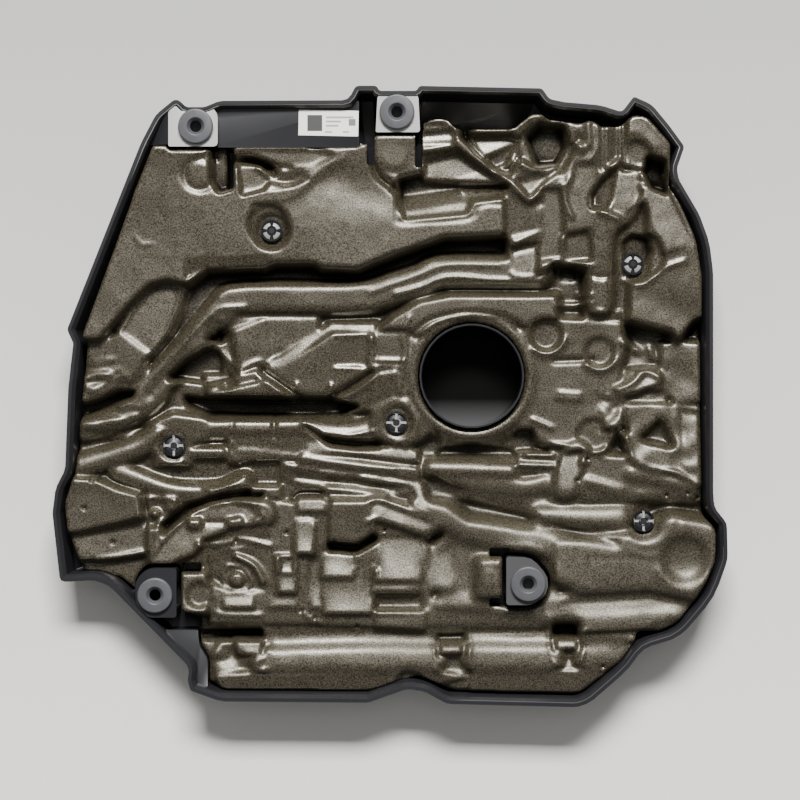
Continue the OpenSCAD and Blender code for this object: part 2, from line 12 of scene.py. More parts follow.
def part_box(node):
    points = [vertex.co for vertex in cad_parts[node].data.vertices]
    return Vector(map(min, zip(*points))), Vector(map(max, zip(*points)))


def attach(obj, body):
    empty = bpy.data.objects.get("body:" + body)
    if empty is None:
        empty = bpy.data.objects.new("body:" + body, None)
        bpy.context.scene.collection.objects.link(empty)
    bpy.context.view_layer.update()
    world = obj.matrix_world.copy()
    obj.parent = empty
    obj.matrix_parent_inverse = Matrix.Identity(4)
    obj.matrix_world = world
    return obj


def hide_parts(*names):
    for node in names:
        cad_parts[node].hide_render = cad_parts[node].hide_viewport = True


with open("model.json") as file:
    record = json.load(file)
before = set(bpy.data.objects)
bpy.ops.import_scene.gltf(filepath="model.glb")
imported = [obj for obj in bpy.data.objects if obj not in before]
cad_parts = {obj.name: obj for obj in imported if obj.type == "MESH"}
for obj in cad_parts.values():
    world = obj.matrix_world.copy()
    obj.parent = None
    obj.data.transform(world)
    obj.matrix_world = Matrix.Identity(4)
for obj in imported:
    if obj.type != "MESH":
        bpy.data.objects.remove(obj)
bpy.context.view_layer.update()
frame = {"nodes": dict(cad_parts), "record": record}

# Studio: the cover lies on its show face on a pale table, seen from straight above. One large soft
# window of light stands beyond the upper edge, and white walls fill the shadows.
MM = 0.001
rim_height = 0.050
view_width = 0.640                       # width of the table that the picture shows at the rim
view_centre = Vector((0.0079, -0.0029, 0))
camera_distance = 1.9
light_distance = 5.0
table_half = 3.0
table_fade = 0.35                        # how far the table's tone changes, up and down from its middle
light_lean = 0.02                        # of the lights, to the photo's right


def put_in_scene(name, data):
    """An object for some data, linked to the scene."""
    thing = bpy.data.objects.new(name, data)
    bpy.context.scene.collection.objects.link(thing)
    return thing


camera_data = bpy.data.cameras.new("camera")
camera_data.sensor_width = 36
camera_data.lens = camera_data.sensor_width * camera_distance / view_width
camera = put_in_scene("camera", camera_data)
camera.location = view_centre + Vector((0, 0, rim_height + camera_distance))
bpy.context.scene.camera = camera


def linear(hex_colour):
    """An sRGB hex value as the linear colour that shaders take."""
    parts = [int(hex_colour[i:i + 2], 16) / 255 for i in (1, 3, 5)]
    return [c / 12.92 if c <= 0.04045 else ((c + 0.055) / 1.055) ** 2.4 for c in parts] + [1]


def feed(node, values=None, links=None):
    """Sets a node's inputs, by value or by link, where a node stands for its own first output."""
    for key, value in (values or {}).items():
        node.inputs[key].default_value = value
    for key, source in (links or {}).items():
        output = source.outputs[0] if isinstance(source, bpy.types.Node) else source
        node.id_data.links.new(output, node.inputs[key])


def add_node(tree, kind, settings=None, values=None, links=None):
    """Adds one node, with its settings, values and links. A plain kind is a shader node's."""
    node = tree.nodes.new(kind if "Node" in kind else "ShaderNode" + kind)
    for key, value in (settings or {}).items():
        setattr(node, key, value)
    feed(node, values, links)
    return node


def new_material(name):
    """A material with its principled shader ready, its tree, its Object coordinates and their X, Y, Z."""
    material = bpy.data.materials.new(name)
    material.use_nodes = True
    tree = material.node_tree
    place = add_node(tree, "TexCoord").outputs["Object"]
    axes = add_node(tree, "SeparateXYZ", links={"Vector": place})
    return material, tree, tree.nodes["Principled BSDF"], place, axes.outputs


def flat_mesh(name, vertices, faces):
    mesh = bpy.data.meshes.new(name)
    mesh.from_pydata(vertices, [], faces)
    return mesh


# The table is a pale laminate, matt, with painted light: its colour is graded lighter towards the bottom of
# the view.
laminate, tree, shader, place, axes = new_material("pale_table_laminate")
painted_light_to_foot = add_node(tree, "MapRange", {}, {"From Min": table_fade, "From Max": -table_fade},
                   {"Value": axes["Y"]})
tone = add_node(tree, "MixRGB", {}, {"Color1": linear("#b4b3ae"), "Color2": linear("#f8f6f0")},
                {"Fac": painted_light_to_foot})
feed(shader, {"Roughness": 0.6, "Specular IOR Level": 0.2}, {"Base Color": tone})
table_corners = [(x * table_half, y * table_half, 0) for x, y in ((-1, -1), (1, -1), (1, 1), (-1, 1))]
table = put_in_scene("table", flat_mesh("table", table_corners, [(0, 1, 2, 3)]))
table.data.materials.append(laminate)

for name, size, off_vertical, power in (
        ("window", (2.4, 1.0), 40, 590), ("ceiling_panel", (2.6, 0.9), 13, 5)):
    panel = bpy.data.lights.new(name, "AREA")
    panel.shape = "RECTANGLE"
    panel.size, panel.size_y = size
    panel.energy = power
    tilt = math.radians(off_vertical)
    away = Vector((light_lean, math.sin(tilt), math.cos(tilt))).normalized()
    lamp = put_in_scene(name, panel)
    lamp.location = view_centre + away * light_distance
    lamp.rotation_euler = away.to_track_quat("Z", "Y").to_euler()
world = bpy.data.worlds.new("white_walls")
world.use_nodes = True
feed(world.node_tree.nodes["Background"], {"Color": linear("#f4f5f6"), "Strength": 0.26})
bpy.context.scene.world = world

# Cover shell: one injection moulding in black polypropylene, with a satin, lightly grained face.
# Skirt, lip, bracket towers, ledges, collar and studs come out of the same mould.
shell_bevel = 0.5 * MM
smooth_angle = math.radians(32)
merge_reach = 0.001 * MM
flat_angle = math.radians(0.5)
plate_top = frame["record"]["mounts"][0]["pos_m"][2]
plate_skin, rim_edge = 0.2 * MM, plate_top + 0.7 * MM
well_low, well_high = (Vector(c) for c in frame["record"]["physics"]["openings"][0]["box_m"])
well_middle = (well_low + well_high) / 2
well_reach = 40.5 * MM                   # from the well's middle to its collar
well_lit_from, well_lit_to = -2 * MM, -26 * MM
upper_plates_from, upper_plates_to = 170 * MM, 200 * MM
right_plate_from, right_plate_to = 50 * MM, 60 * MM
lower_plates_below = -120 * MM
moulded_grain = MM / 1.1                 # drawn coarser than it is, so that it shows
gloss_patch = MM / 0.014


def dressed(node, name, bevel_width, segments=2):
    """A merged and bevelled copy of a CAD node that stands in its place."""
    mesh = frame["nodes"][node].data.copy()
    mesh.materials.clear()
    body = bmesh.new()
    body.from_mesh(mesh)
    bmesh.ops.remove_doubles(body, verts=body.verts, dist=merge_reach)
    bmesh.ops.dissolve_limit(body, angle_limit=flat_angle, verts=body.verts, edges=body.edges)
    body.to_mesh(mesh)
    body.free()
    piece = put_in_scene(name, mesh)
    bevel = piece.modifiers.new("edges", "BEVEL")
    bevel.width = bevel_width
    bevel.segments = segments
    bevel.limit_method = "ANGLE"
    bevel.angle_limit = smooth_angle
    bevel.use_clamp_overlap = True
    bevel.harden_normals = True
    mesh.shade_smooth()
    mesh.set_sharp_from_angle(angle=smooth_angle)
    return piece


# Moulded black polypropylene looks satin. The bracket plates are painted pale, a painted reflection of the
# window's glare, and the filler well has painted shade inside, with a painted lit foot.
polypropylene, tree, shader, place, axes = new_material("moulded_black_polypropylene")
grain = add_node(tree, "TexNoise", {}, {"Scale": 1 / moulded_grain, "Detail": 3}, {"Vector": place})
cloud = add_node(tree, "TexNoise", {}, {"Scale": 1 / gloss_patch, "Detail": 3}, {"Vector": place})
gloss = add_node(tree, "MapRange", {}, {"From Min": 0.3, "From Max": 0.7, "To Min": 0.27, "To Max": 0.34},
                 {"Value": cloud})
relief = add_node(tree, "Bump", {}, {"Strength": 0.12, "Distance": 0.3 * MM}, {"Height": grain})
# Painted glare: the tops of the bracket plates are painted pale, in place of the window's reflection on them.
on_plates = add_node(tree, "MapRange", {},
                     {"From Min": plate_top - plate_skin, "From Max": plate_top + plate_skin},
                     {"Value": axes["Z"]})
below_rim = add_node(tree, "Math", {"operation": "LESS_THAN"}, {1: rim_edge}, {0: axes["Z"]})
at_top = add_node(tree, "MapRange", {}, {"From Min": upper_plates_from, "From Max": upper_plates_to},
                  {"Value": axes["Y"]})
at_right = add_node(tree, "MapRange", {},
                    {"From Min": right_plate_from, "From Max": right_plate_to, "To Max": 0.11},
                    {"Value": axes["X"]})
at_foot = add_node(tree, "Math", {"operation": "LESS_THAN"}, {1: lower_plates_below}, {0: axes["Y"]})
where_painted_glare = add_node(tree, "Math", {"operation": "MULTIPLY_ADD"}, {}, {0: at_right, 1: at_foot, 2: at_top})
worn_top = add_node(tree, "Math", {"operation": "MULTIPLY"}, {}, {0: on_plates, 1: where_painted_glare})
painted_glare = add_node(tree, "Math", {"operation": "MULTIPLY"}, {}, {0: worn_top, 1: below_rim})
tone = add_node(tree, "MixRGB", {}, {"Color1": linear("#222225"), "Color2": linear("#b4b3af")}, {"Fac": painted_glare})
flat_place = add_node(tree, "VectorMath", {"operation": "MULTIPLY"}, {1: (1, 1, 0)}, {0: place})
# Painted shade and light in the filler well: its inside is painted dark, with dimmed reflections, and its
# foot is painted lit.
from_well = add_node(tree, "VectorMath", {"operation": "DISTANCE"}, {1: (well_middle.x, well_middle.y, 0)},
                     {0: flat_place})
in_well = add_node(tree, "Math", {"operation": "LESS_THAN"}, {1: well_reach}, {0: from_well.outputs["Value"]})
painted_lit_foot = add_node(tree, "MapRange", {}, {"From Min": well_lit_from, "From Max": well_lit_to, "To Max": 0.5},
                    {"Value": axes["Y"]})
well_painted_shade_and_light = add_node(tree, "MixRGB", {}, {"Color1": linear("#0e0e0d"), "Color2": linear("#707070")},
                     {"Fac": painted_lit_foot})
tone = add_node(tree, "MixRGB", links={"Fac": in_well, "Color1": tone, "Color2": well_painted_shade_and_light})
well_shade_specular = add_node(tree, "Math", {"operation": "MULTIPLY_ADD"}, {1: -0.45, 2: 0.5}, {0: in_well})
feed(shader, links={"Base Color": tone, "Roughness": gloss, "Specular IOR Level": well_shade_specular, "Normal": relief})

shell = dressed("cover_shell", "moulded_shell", shell_bevel)
shell.data.materials.append(polypropylene)
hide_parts("cover_shell")
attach(shell, "root")

# Foam inlay: polyurethane foam moulded against the engine's outline, with a smooth, faintly glossy
# skin. It is laid out on a grid of depths below its top faces, form by form, then skinned.
grid = 1.2                               # millimetres between the points of the foam's skin
drawn_at = (-159, 214.5)                 # of the first socket, in the drawing that the forms are taken from
datum = [at / MM - drawn for at, drawn in zip(frame["record"]["mounts"][0]["pos_m"], drawn_at)]
foam_low, foam_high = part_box("foam_inlay")
xs = np.arange(foam_low.x / MM - 2 * grid, foam_high.x / MM + 2 * grid, grid)
ys = np.arange(foam_low.y / MM - 2 * grid, foam_high.y / MM + 2 * grid, grid)
plan_x, plan_y = np.meshgrid(xs - datum[0], ys - datum[1])
floor_deep = 24.0
facet_edge = 1.6                         # width over which a flat face meets what lies round it
wrinkle_edge = 6
spare = 2                                # depth by which a wall goes on past the floor
depth = np.full(plan_x.shape, floor_deep)


def fade(distance, width):
    """Goes from 0 to 1 over a width."""
    return np.clip(distance / width, 0, 1)


def around(points, reach):
    """The part of the grid within reach of some points, as an index, and its places."""
    p = np.array(points, float)
    (x0, y0), (x1, y1) = p.min(0) - reach, p.max(0) + reach
    rows = slice(*np.searchsorted(plan_y[:, 0], (y0, y1)))
    columns = slice(*np.searchsorted(plan_x[0], (x0, x1)))
    return (rows, columns), plan_x[rows, columns], plan_y[rows, columns]


def line_distance(x, y, path):
    """Distance from each place to a path of straight lines."""
    best = np.full(x.shape, 1e9)
    for (ax, ay), (bx, by) in zip(path, path[1:]):
        dx, dy = bx - ax, by - ay
        t = np.clip(((x - ax) * dx + (y - ay) * dy) / (dx * dx + dy * dy), 0, 1)
        best = np.minimum(best, np.hypot(x - ax - t * dx, y - ay - t * dy))
    return best


def outside(x, y, corners):
    """Distance to an outline, negative inside it."""
    closed = list(corners) + [corners[0]]
    inside = np.zeros(x.shape, bool)
    for (ax, ay), (bx, by) in zip(closed, closed[1:]):
        if ay != by:
            crosses = (ay > y) != (by > y)
            inside ^= crosses & (x < (bx - ax) * (y - ay) / (by - ay) + ax)
    gap = line_distance(x, y, closed)
    return np.where(inside, -gap, gap)


def block(x0, y0, x1, y1, *edge_depths):
    """Corners of a rectangle, with the depths of its y0 and y1 edges where they are given."""
    corners = [(x0, y0), (x1, y0), (x1, y1), (x0, y1)]
    if not edge_depths:
        return corners
    high, low = edge_depths
    return [(*corner, deep) for corner, deep in zip(corners, (high, high, low, low))]


def arc(x0, y0, r, start, end):
    """Points along an arc, its angles in degrees."""
    return [(x0 + r * math.cos(math.radians(a)), y0 + r * math.sin(math.radians(a)))
            for a in np.linspace(start, end, 2 + int(abs(end - start) / 15))]


def curved(path, step=4.0):
    """A path rounded into a smooth curve through its points."""
    p = [np.array(q, float) for q in path]
    if len(p) < 3:
        return path
    p = [2 * p[0] - p[1]] + p + [2 * p[-1] - p[-2]]
    out = []
    for a, b, c, d in zip(p, p[1:], p[2:], p[3:]):
        n = max(1, int(np.linalg.norm(c - b) / step))
        for t in np.arange(n) / n:
            out.append(0.5 * (2 * b + (c - a) * t + (2 * a - 5 * b + 4 * c - d) * t ** 2
                              + (3 * b - a - 3 * c + d) * t ** 3))
    return [tuple(q) for q in out + [p[-2]]]


def blurred(field, across, along, mode="edge"):
    """A field of the grid, blurred over one radius across its rows and one along them."""
    for axis, radius in enumerate((across, along)):
        reach, length = int(3 * radius / grid) + 1, field.shape[axis]
        weights = np.exp(-0.5 * (np.arange(-reach, reach + 1) * grid / radius) ** 2)
        weights /= weights.sum()
        wide = np.pad(field, [(reach, reach) if a == axis else (0, 0) for a in (0, 1)], mode=mode)
        field = sum(w * np.take(wide, range(k, k + length), axis=axis) for k, w in enumerate(weights))
    return field


def rise(corners, deep, draft):
    """Raised area with sloping walls."""
    where, x, y = around(corners, draft + 1)
    slope = fade(outside(x, y, corners), draft)
    depth[where] = np.minimum(depth[where], deep + (floor_deep + spare - deep) * slope)


def sink(corners, deep, draft):
    """Sunk area with sloping walls."""
    where, x, y = around(corners, draft + 1)
    slope = np.maximum(outside(x, y, corners) / draft, 0)
    depth[where] = np.maximum(depth[where], deep - (deep + 1) * slope)


def duct(path, r, deep, flat=0.4):
    """Raised pipe form along a path, its crest at a depth and a share of its width flat."""
    where, x, y = around(path, r + 1)
    across = np.clip((line_distance(x, y, curved(path)) - flat * r) / (1 - flat), 0, r)
    depth[where] = np.minimum(depth[where], deep + (1 - flat / 2) * (r - np.sqrt(r * r - across ** 2)))


def dish(x0, y0, r, deep):
    """Round pocket."""
    where, x, y = around([(x0, y0)], r + 2)
    wall = (np.hypot(x - x0, y - y0) - 0.8 * r) / (0.2 * r)
    depth[where] = np.maximum(depth[where], deep - (deep + 1) * np.maximum(wall, 0))


def bowl(x0, y0, r, deep):
    """Round hollow with a sharp edge, deepest in its middle."""
    where, x, y = around([(x0, y0)], r)
    depth[where] += deep * np.sqrt(np.clip(1 - (np.hypot(x - x0, y - y0) / r) ** 2, 0, 1))


def knob(x0, y0, r, deep):
    """Round raised boss."""
    where, x, y = around([(x0, y0)], 1.3 * r)
    wall = fade(np.hypot(x - x0, y - y0) - r, 0.2 * r)
    depth[where] = np.minimum(depth[where], deep + (floor_deep + spare - deep) * wall)


def crease(path, half_width, deep):
    """Narrow fold pressed into the skin, or raised from it where deep is negative."""
    where, x, y = around(path, 4 * half_width)
    across = line_distance(x, y, curved(path)) / half_width
    depth[where] += deep * np.exp(-across ** 2)


def facet(corners):
    """Flat, tilted face that replaces what lies inside its corners, given as x, y and depth."""
    c = np.array(corners, float)
    where, x, y = around(c[:, :2], 1)
    a, b, e = np.linalg.lstsq(np.column_stack([c[:, :2], np.ones(len(c))]), c[:, 2], rcond=None)[0]
    share = fade(facet_edge / 2 - outside(x, y, [tuple(q) for q in c[:, :2]]), facet_edge)
    depth[where] += share * (a * x + b * y + e - depth[where])


def disc(x0, y0, r, deep, per_radian):
    """Flat round face, whose corners cover six radians of the turn."""
    turns = [k / per_radian for k in range(6 * per_radian + 1)]
    facet([(x0 + r * math.cos(turn), y0 + r * math.sin(turn), deep) for turn in turns])


def ramp(x0, x1, y_high, y_low, deep, shallow):
    """Hollow face that rises towards the photo's foot and ends there in a step."""
    where, x, y = around([(x0, y_low), (x1, y_high)], 1)
    steepest, side_lift = 0.34, 1.5
    fall = deep - shallow
    face = deep - fall * np.exp(-steepest * np.maximum(y - y_low, 0) / fall)
    face += side_lift * np.abs((2 * x - x0 - x1) / (x1 - x0)) ** 4
    inside = np.minimum.reduce([x - x0, x1 - x, y - y_low, y_high - y])
    depth[where] += fade(facet_edge / 2 + inside, facet_edge) * (face - depth[where])


def wrinkles(corners, height, along, across, seed):
    """Uneven folds of the skin inside an outline, longer along x than across it."""
    where, x, y = around(corners, 4)
    field = blurred(np.random.default_rng(seed).normal(size=x.shape), across, along, "reflect")
    share = fade(wrinkle_edge / 2 - outside(x, y, corners), wrinkle_edge)
    depth[where] += height * share * field / field.std()


# Main forms, as in the solid. Places are those of the drawing, and depths count down from the
# foam's highest faces, all in millimetres.
# Upper plateau with its wavy lower edge
rise([(-262, 240), (50, 240), (52, 205), (88, 170), (88, 129), (40, 127), (2, 114), (-30, 101), (-58, 102),
    (-65, 106), (-96, 106), (-104, 103), (-150, 101), (-166, 89), (-183, 92), (-197, 88), (-215, 70),
    (-230, 52), (-238, 42), (-262, 42)], 0, 5)
# Tongue below the plateau's left end
rise([(-221, 50), (-205, 75), (-195, 86), (-188, 89), (-178, 89), (-172, 84), (-176, 68), (-184, 50),
    (-197, 33)], 7, 8)
rise([(-262, 42), (-232, 44), (-221, 49), (-197, 32), (-205, 22), (-215, 6), (-262, -2)], 10, 5)
# Long duct from the left edge, along the plateau and round the well
duct([(-213, -12), (-195, 5), (-170, 32), (-150, 55), (-138, 69), (-122, 77), (-30, 78), (0, 85), (22, 92),
    (42, 99), (115, 98)], 14, 12)
# Plates left of the well
rise([(-100, 24), (-90, 26), (-70, 38), (-60, 46), (-48, 52), (-20, 52), (-16, 45), (-16, 18), (-50, 1),
    (-78, 1), (-103, 17)], 12, 6)
rise([(-150, 5), (-130, 14), (-110, 20), (-104, 17), (-80, 0), (-82, -2), (-150, -2)], 12, 5)
rise([(-14, 50), (14, 50), (25, 30), (30, -30), (10, -42), (-12, -34), (-16, -20)], 12, 5)
# Shoulder and ring round the well
rise([(-10, 53), (10, 53), (16, 48), (24, 50), (32, 57), (42, 61), (62, 64), (85, 62), (97, 57), (107, 55),
    (112, 60), (130, 62), (130, 79), (45, 79), (20, 74), (0, 62)], 8, 6)
knob(62, 15, 51, 12)
# Block right of the well
rise([(98, 50), (105, 55), (130, 60), (182, 58), (186, 40), (180, 20), (185, 0), (180, -25), (168, -47),
    (150, -47), (128, -40), (110, -35), (100, -30)], 12, 6)
# Plateau at the right edge, and the block in the upper right corner
rise([(188, 60), (222, 51), (228, 45), (240, 60), (270, 70), (270, 166), (224, 166), (205, 160), (203, 130),
    (190, 95)], 2, 5)
rise([(186, 184), (205, 180), (220, 168), (270, 168), (270, 240), (186, 240)], 3, 6)
# Upper right field with its ducts
rise([(55, 230), (90, 150), (96, 100), (122, 100), (128, 108), (150, 104), (160, 100), (175, 150),
    (165, 200), (165, 230)], 4, 6)
duct([(174, 216), (174, 186)], 8, 2)
duct([(196, 170), (182, 147), (170, 136), (166, 120), (165, 90), (165, 74)], 12, 4)
# Clip cushion on the left and the ducts that run to it
rise([(-196, -24), (-178, -16), (-150, -20), (-150, -34), (-165, -40), (-165, -56), (-192, -56)], 15, 6)
duct([(-255, -2), (-228, 6), (-205, 18)], 9, 12, 0)
duct([(-256, -28), (-230, -22), (-206, -12), (-190, 2)], 11, 12, 0)
duct([(-258, -58), (-230, -51), (-205, -42), (-190, -32)], 10, 12, 0)
duct([(-178, -26), (-150, -27), (-98, -27), (-72, -27), (-55, -31), (-30, -31), (-10, -24)], 11, 15, 0)
# Lower left plates
rise([(-268, -66), (-240, -68), (-222, -76), (-206, -80), (-203, -99), (-256, -111), (-270, -111)], 8, 3)
rise([(-270, -112), (-203, -103), (-200, -128), (-230, -132), (-262, -134)], 15, 3)
duct([(-222, -62), (-200, -71), (-183, -77), (-163, -79), (-140, -78), (-122, -70)], 9, 14, 0)
# Banana plate with its right pad
rise([(-198, -134), (-170, -106), (-150, -94), (-138, -89), (-124, -88), (-112, -91), (-105, -99),
    (-122, -103), (-138, -108), (-160, -116), (-184, -136)], 12, 3)
knob(-128, -102.5, 5.5, 10.5)
# Tapered plate and the long ribs in the middle
rise([(-131, -49), (-127, -44), (-112, -44), (-90, -47), (-72, -49), (-72, -51), (-128, -53)], 16, 4)
duct([(-72, -52), (-45, -57), (-10, -61), (10, -63)], 8, 15)
duct([(-84, -61), (-50, -66), (0, -71), (16, -76)], 7, 15)
duct([(-50, -80), (-10, -84)], 9, 14)
duct([(30, -60), (93, -62)], 8, 13, 0)
duct([(40, -66), (75, -72), (105, -75), (122, -72)], 8, 15)
duct([(143, -45), (139, -58), (134, -72)], 8, 11)
# Diagonal ducts below the well
duct([(-16, -92), (6, -98), (30, -108)], 12, 10)
duct([(24, -88), (40, -98), (65, -110), (106, -118), (146, -123), (190, -126)], 13, 10)
duct([(118, -99), (184, -101)], 9, 11)
rise([(-52, -86), (-16, -86), (-16, -112), (-28, -121), (-52, -119)], 10, 5)
# Stepped blocks in the lower middle
rise(block(-78, -84, -54, -94), 12, 3)
rise(block(-80, -104, -65, -128), 8, 4)
rise([(-96, -130), (-79, -130), (-79, -160), (-94, -160)], 10, 3)
rise(block(-102, -163, -78, -172), 13, 3)
rise(block(-60, -140, -33, -148), 12, 3)
rise(block(-57, -158, -18, -176), 10, 5)
rise(block(-15, -140, 22, -150), 9, 3)
rise(block(-15, -154, 20, -160), 13, 3)
rise(block(28, -147, 47, -158), 12, 3)
rise([(34, -164), (77, -165), (77, -174), (34, -172)], 12, 4)
rise(block(-137, -161, -114, -172), 12, 3)
knob(-127, -151, 7, 15)
# Tongues beside the brackets
rise(block(-172, -143, -150, -176), 6, 2)
rise([(66, -132), (89, -130), (89, -164), (66, -162)], 5, 2)
# Long duct above the bottom rim
duct([(-104, -217), (-40, -214), (30, -214)], 13, 12)
duct([(64, -212), (126, -212)], 12, 12)
duct([(153, -212), (185, -211)], 10, 13)
rise([(-106, -176), (124, -186), (150, -190), (190, -190), (150, -240), (60, -236), (-20, -236),
    (-140, -234), (-148, -215), (-130, -180)], 20, 5)
# Cushion in the lower right corner
rise([(128, -118), (190, -112), (222, -96), (262, -104), (262, -140), (242, -166), (205, -157), (150, -160),
    (128, -150)], 6, 5)
duct([(150, -185), (190, -184), (224, -181)], 13, 9)
# Right edge below the plateau
rise([(232, -15), (262, -15), (262, -70), (244, -72), (226, -64), (212, -60)], 10, 6)
rise([(184, -32), (198, -36), (222, -46), (226, -60), (208, -60), (190, -50)], 10, 3)
duct([(178, 2), (196, 12), (212, 10)], 8, 12)
duct([(188, -74), (218, -76), (240, -80)], 8, 14)
# Pockets in the upper plateau
sink([(-122, 186), (-114, 180), (-102, 171), (-105, 164), (-122, 158)], 5, 2)
sink([(-128, 186), (-106, 186), (-98, 177), (-78, 175), (-90, 184), (-110, 190)], 10, 4)
sink([(24, 172), (24, 188), (52, 194), (74, 178), (50, 172)], 9, 4)
sink([(8, 150), (4, 166), (22, 171), (84, 169), (88, 163), (58, 158), (54, 150)], 12, 6)
sink([(60, 207), (94, 207), (100, 190), (92, 178), (78, 184), (64, 200)], 14, 4)
sink([(100, 171), (122, 176), (108, 158)], 12, 2)
sink([(96, 140), (104, 150), (128, 160), (134, 110), (92, 104)], 9, 5)
sink([(94, 101), (115, 101), (115, 118), (94, 112)], 14, 2)
dish(196, 193, 12, 8)
# Hollows between the ducts
sink([(-150, -5), (-30, -5), (-20, -12), (-40, -18), (-150, -18)], 30, 4)
sink(block(134, 102, 146, 92), 26, 2)
sink([(188, 56), (220, 48), (214, 44), (188, 46)], 22, 4)
sink([(222, -22), (223, -40), (202, -40), (200, -36)], 30, 3)
sink([(22, -68), (32, -68), (56, -78), (46, -86), (30, -84)], 22, 3)
sink([(48, -88), (60, -88), (112, -102), (60, -98)], 28, 3)
sink([(-18, -114), (22, -120), (22, -130), (-50, -130), (-50, -124), (-28, -124)], 28, 4)
# Round recesses
dish(-155, 176, 11.5, 4)
dish(122, 48, 15, 17)
dish(165, 34, 14, 16)
dish(160, -33, 16, 15)
dish(200, -176, 9, 9.5)
dish(233, -132, 19, 15)
dish(-157, -160, 10.5, 8)
# Windows in the long bottom duct
sink(block(-126, -201, -107, -209), 22, 4)
sink(block(36, -201, 55, -210), 24, 5)
sink(block(129, -192, 148, -205), 24, 5)

# Finer forms, drawn over the main ones
# Shallow bed of the lower middle
rise([(-128, -86), (16, -88), (70, -124), (128, -124), (132, -188), (-148, -184), (-150, -130)], 16, 4)
# Tongue, creased ducts and folds on the left
facet([(-221, 50, 11.5), (-205, 75, 12.2), (-195, 86, 12.5), (-188, 89, 12.5), (-178, 89, 12.5),
    (-172, 84, 12.2), (-176, 68, 12), (-184, 50, 11.5), (-197, 33, 11)])
facet([(-262, 42, 13), (-232, 44, 12), (-222, 49, 8.5), (-197, 31, 8.5), (-205, 20, 10), (-216, 6, 11),
    (-230, 12, 11), (-262, 20, 13)])
facet([(-262, 20, 13), (-230, 12, 11), (-222, 8, 10), (-236, -2, 10), (-262, -10, 8)])
crease([(-250, -9), (-236, -2), (-222, 8)], 1.6, -2.5)
crease([(-256, 13), (-242, 13), (-230, 15)], 3, -2)
wrinkles([(-250, -5), (-250, 30), (-225, 30), (-212, 8), (-228, -2)], 1.5, 5, 2.2, 3)
wrinkles([(-252, -42), (-252, -14), (-205, -8), (-205, -32), (-225, -38)], 1.4, 7, 2, 4)
sink([(-262, -22), (-240, -14), (-222, -6), (-212, -2), (-210, 2), (-222, 2), (-240, -6), (-262, -12)],
    26, 3)
crease([(-178, 30), (-165, 47), (-150, 62), (-140, 69), (-120, 70)], 1.6, -1.6)
crease([(-196, 0), (-180, 20), (-170, 33)], 5, 2)
# Folds round the dark pocket
sink([(-180, 14), (-168, 26), (-150, 36), (-143, 34), (-138, 24), (-132, 14), (-150, 10)], 32, 6)
facet([(-150, 62, 13), (-138, 57, 15), (-131, 50, 22), (-140, 36, 24), (-151, 46, 16)])
sink([(-151, 44), (-140, 52), (-133, 53), (-128, 46), (-140, 42)], 30, 2)
rise([(-134, 62), (-62, 62), (-62, 30), (-100, 16), (-126, 16)], 17.5, 4)
facet([(-131, 52, 15), (-104, 62, 16), (-100, 30, 16.5), (-124, 16, 15)])
crease([(-142, 36), (-133, 27), (-124, 17)], 1.5, -3)
crease([(-124, 20), (-110, 26), (-100, 24)], 2.5, -2)
rise([(-150, 0), (-126, 6), (-100, 12), (-80, -2), (-150, -2)], 9, 4)
# Ducts by the left clip
rise(block(-134, -33, -60, -50), 17, 4)
crease([(-131, -22), (-131, -36)], 1.2, 2)
crease([(-97, -20), (-97, -34)], 1.2, 2)
duct([(-168, -47), (-140, -47)], 5, 15)
crease([(-192, -44), (-188, -51), (-181, -56), (-172, -55)], 1.6, -3)
rise(block(-134, -41, -124, -56), 17, 2)
# Upper left plateau
facet([(-168, 109, 0), (-104, 111, 0), (-98, 104, 3.5), (-104, 101, 4), (-150, 101, 4), (-167, 92, 4)])
disc(-156, 176, 15, 1, 4)
crease(arc(-156, 176, 12, 0, 360), 1.6, 1.5)
sink([(-146, 198), (-131, 198), (-131, 166), (-140, 163), (-146, 172)], 15, 2)
crease([(-154, 190), (-149, 192), (-143, 190)], 1.5, 3)
facet([(-128, 198, 3.5), (-60, 196, 2.5), (-45, 190, 2), (-62, 184, 0.5), (-90, 182, 0.5), (-108, 188, 2),
    (-128, 192, 3)])
facet([(-102, 182, 0.5), (-76, 181, 0.5), (-68, 172, 2), (-86, 168, 4), (-102, 170, 5)])
facet([(-126, 186, 5), (-112, 183, 5), (-98, 172, 4.5), (-104, 164, 4), (-122, 158, 4)])
crease([(-125, 168), (-124, 158), (-103, 164), (-98, 172)], 1.2, -1.2)
crease([(-131, 189), (-118, 189), (-108, 186), (-96, 178)], 2.2, 11)
crease([(-150, 151), (-128, 154), (-105, 158), (-80, 163), (-64, 176), (-45, 189)], 5, -2.4)
crease([(-151, 154), (-143, 155)], 3, -1.5)
dish(-110, 150, 4, 3)
dish(-101, 136, 18, 6)
crease([(-207, 126), (-203, 120), (-194, 121)], 0.9, -1.2)
crease([(-90, 178), (-50, 172), (-10, 166)], 20, 3)
crease([(-240, 80), (-215, 130), (-200, 180)], 26, 2)
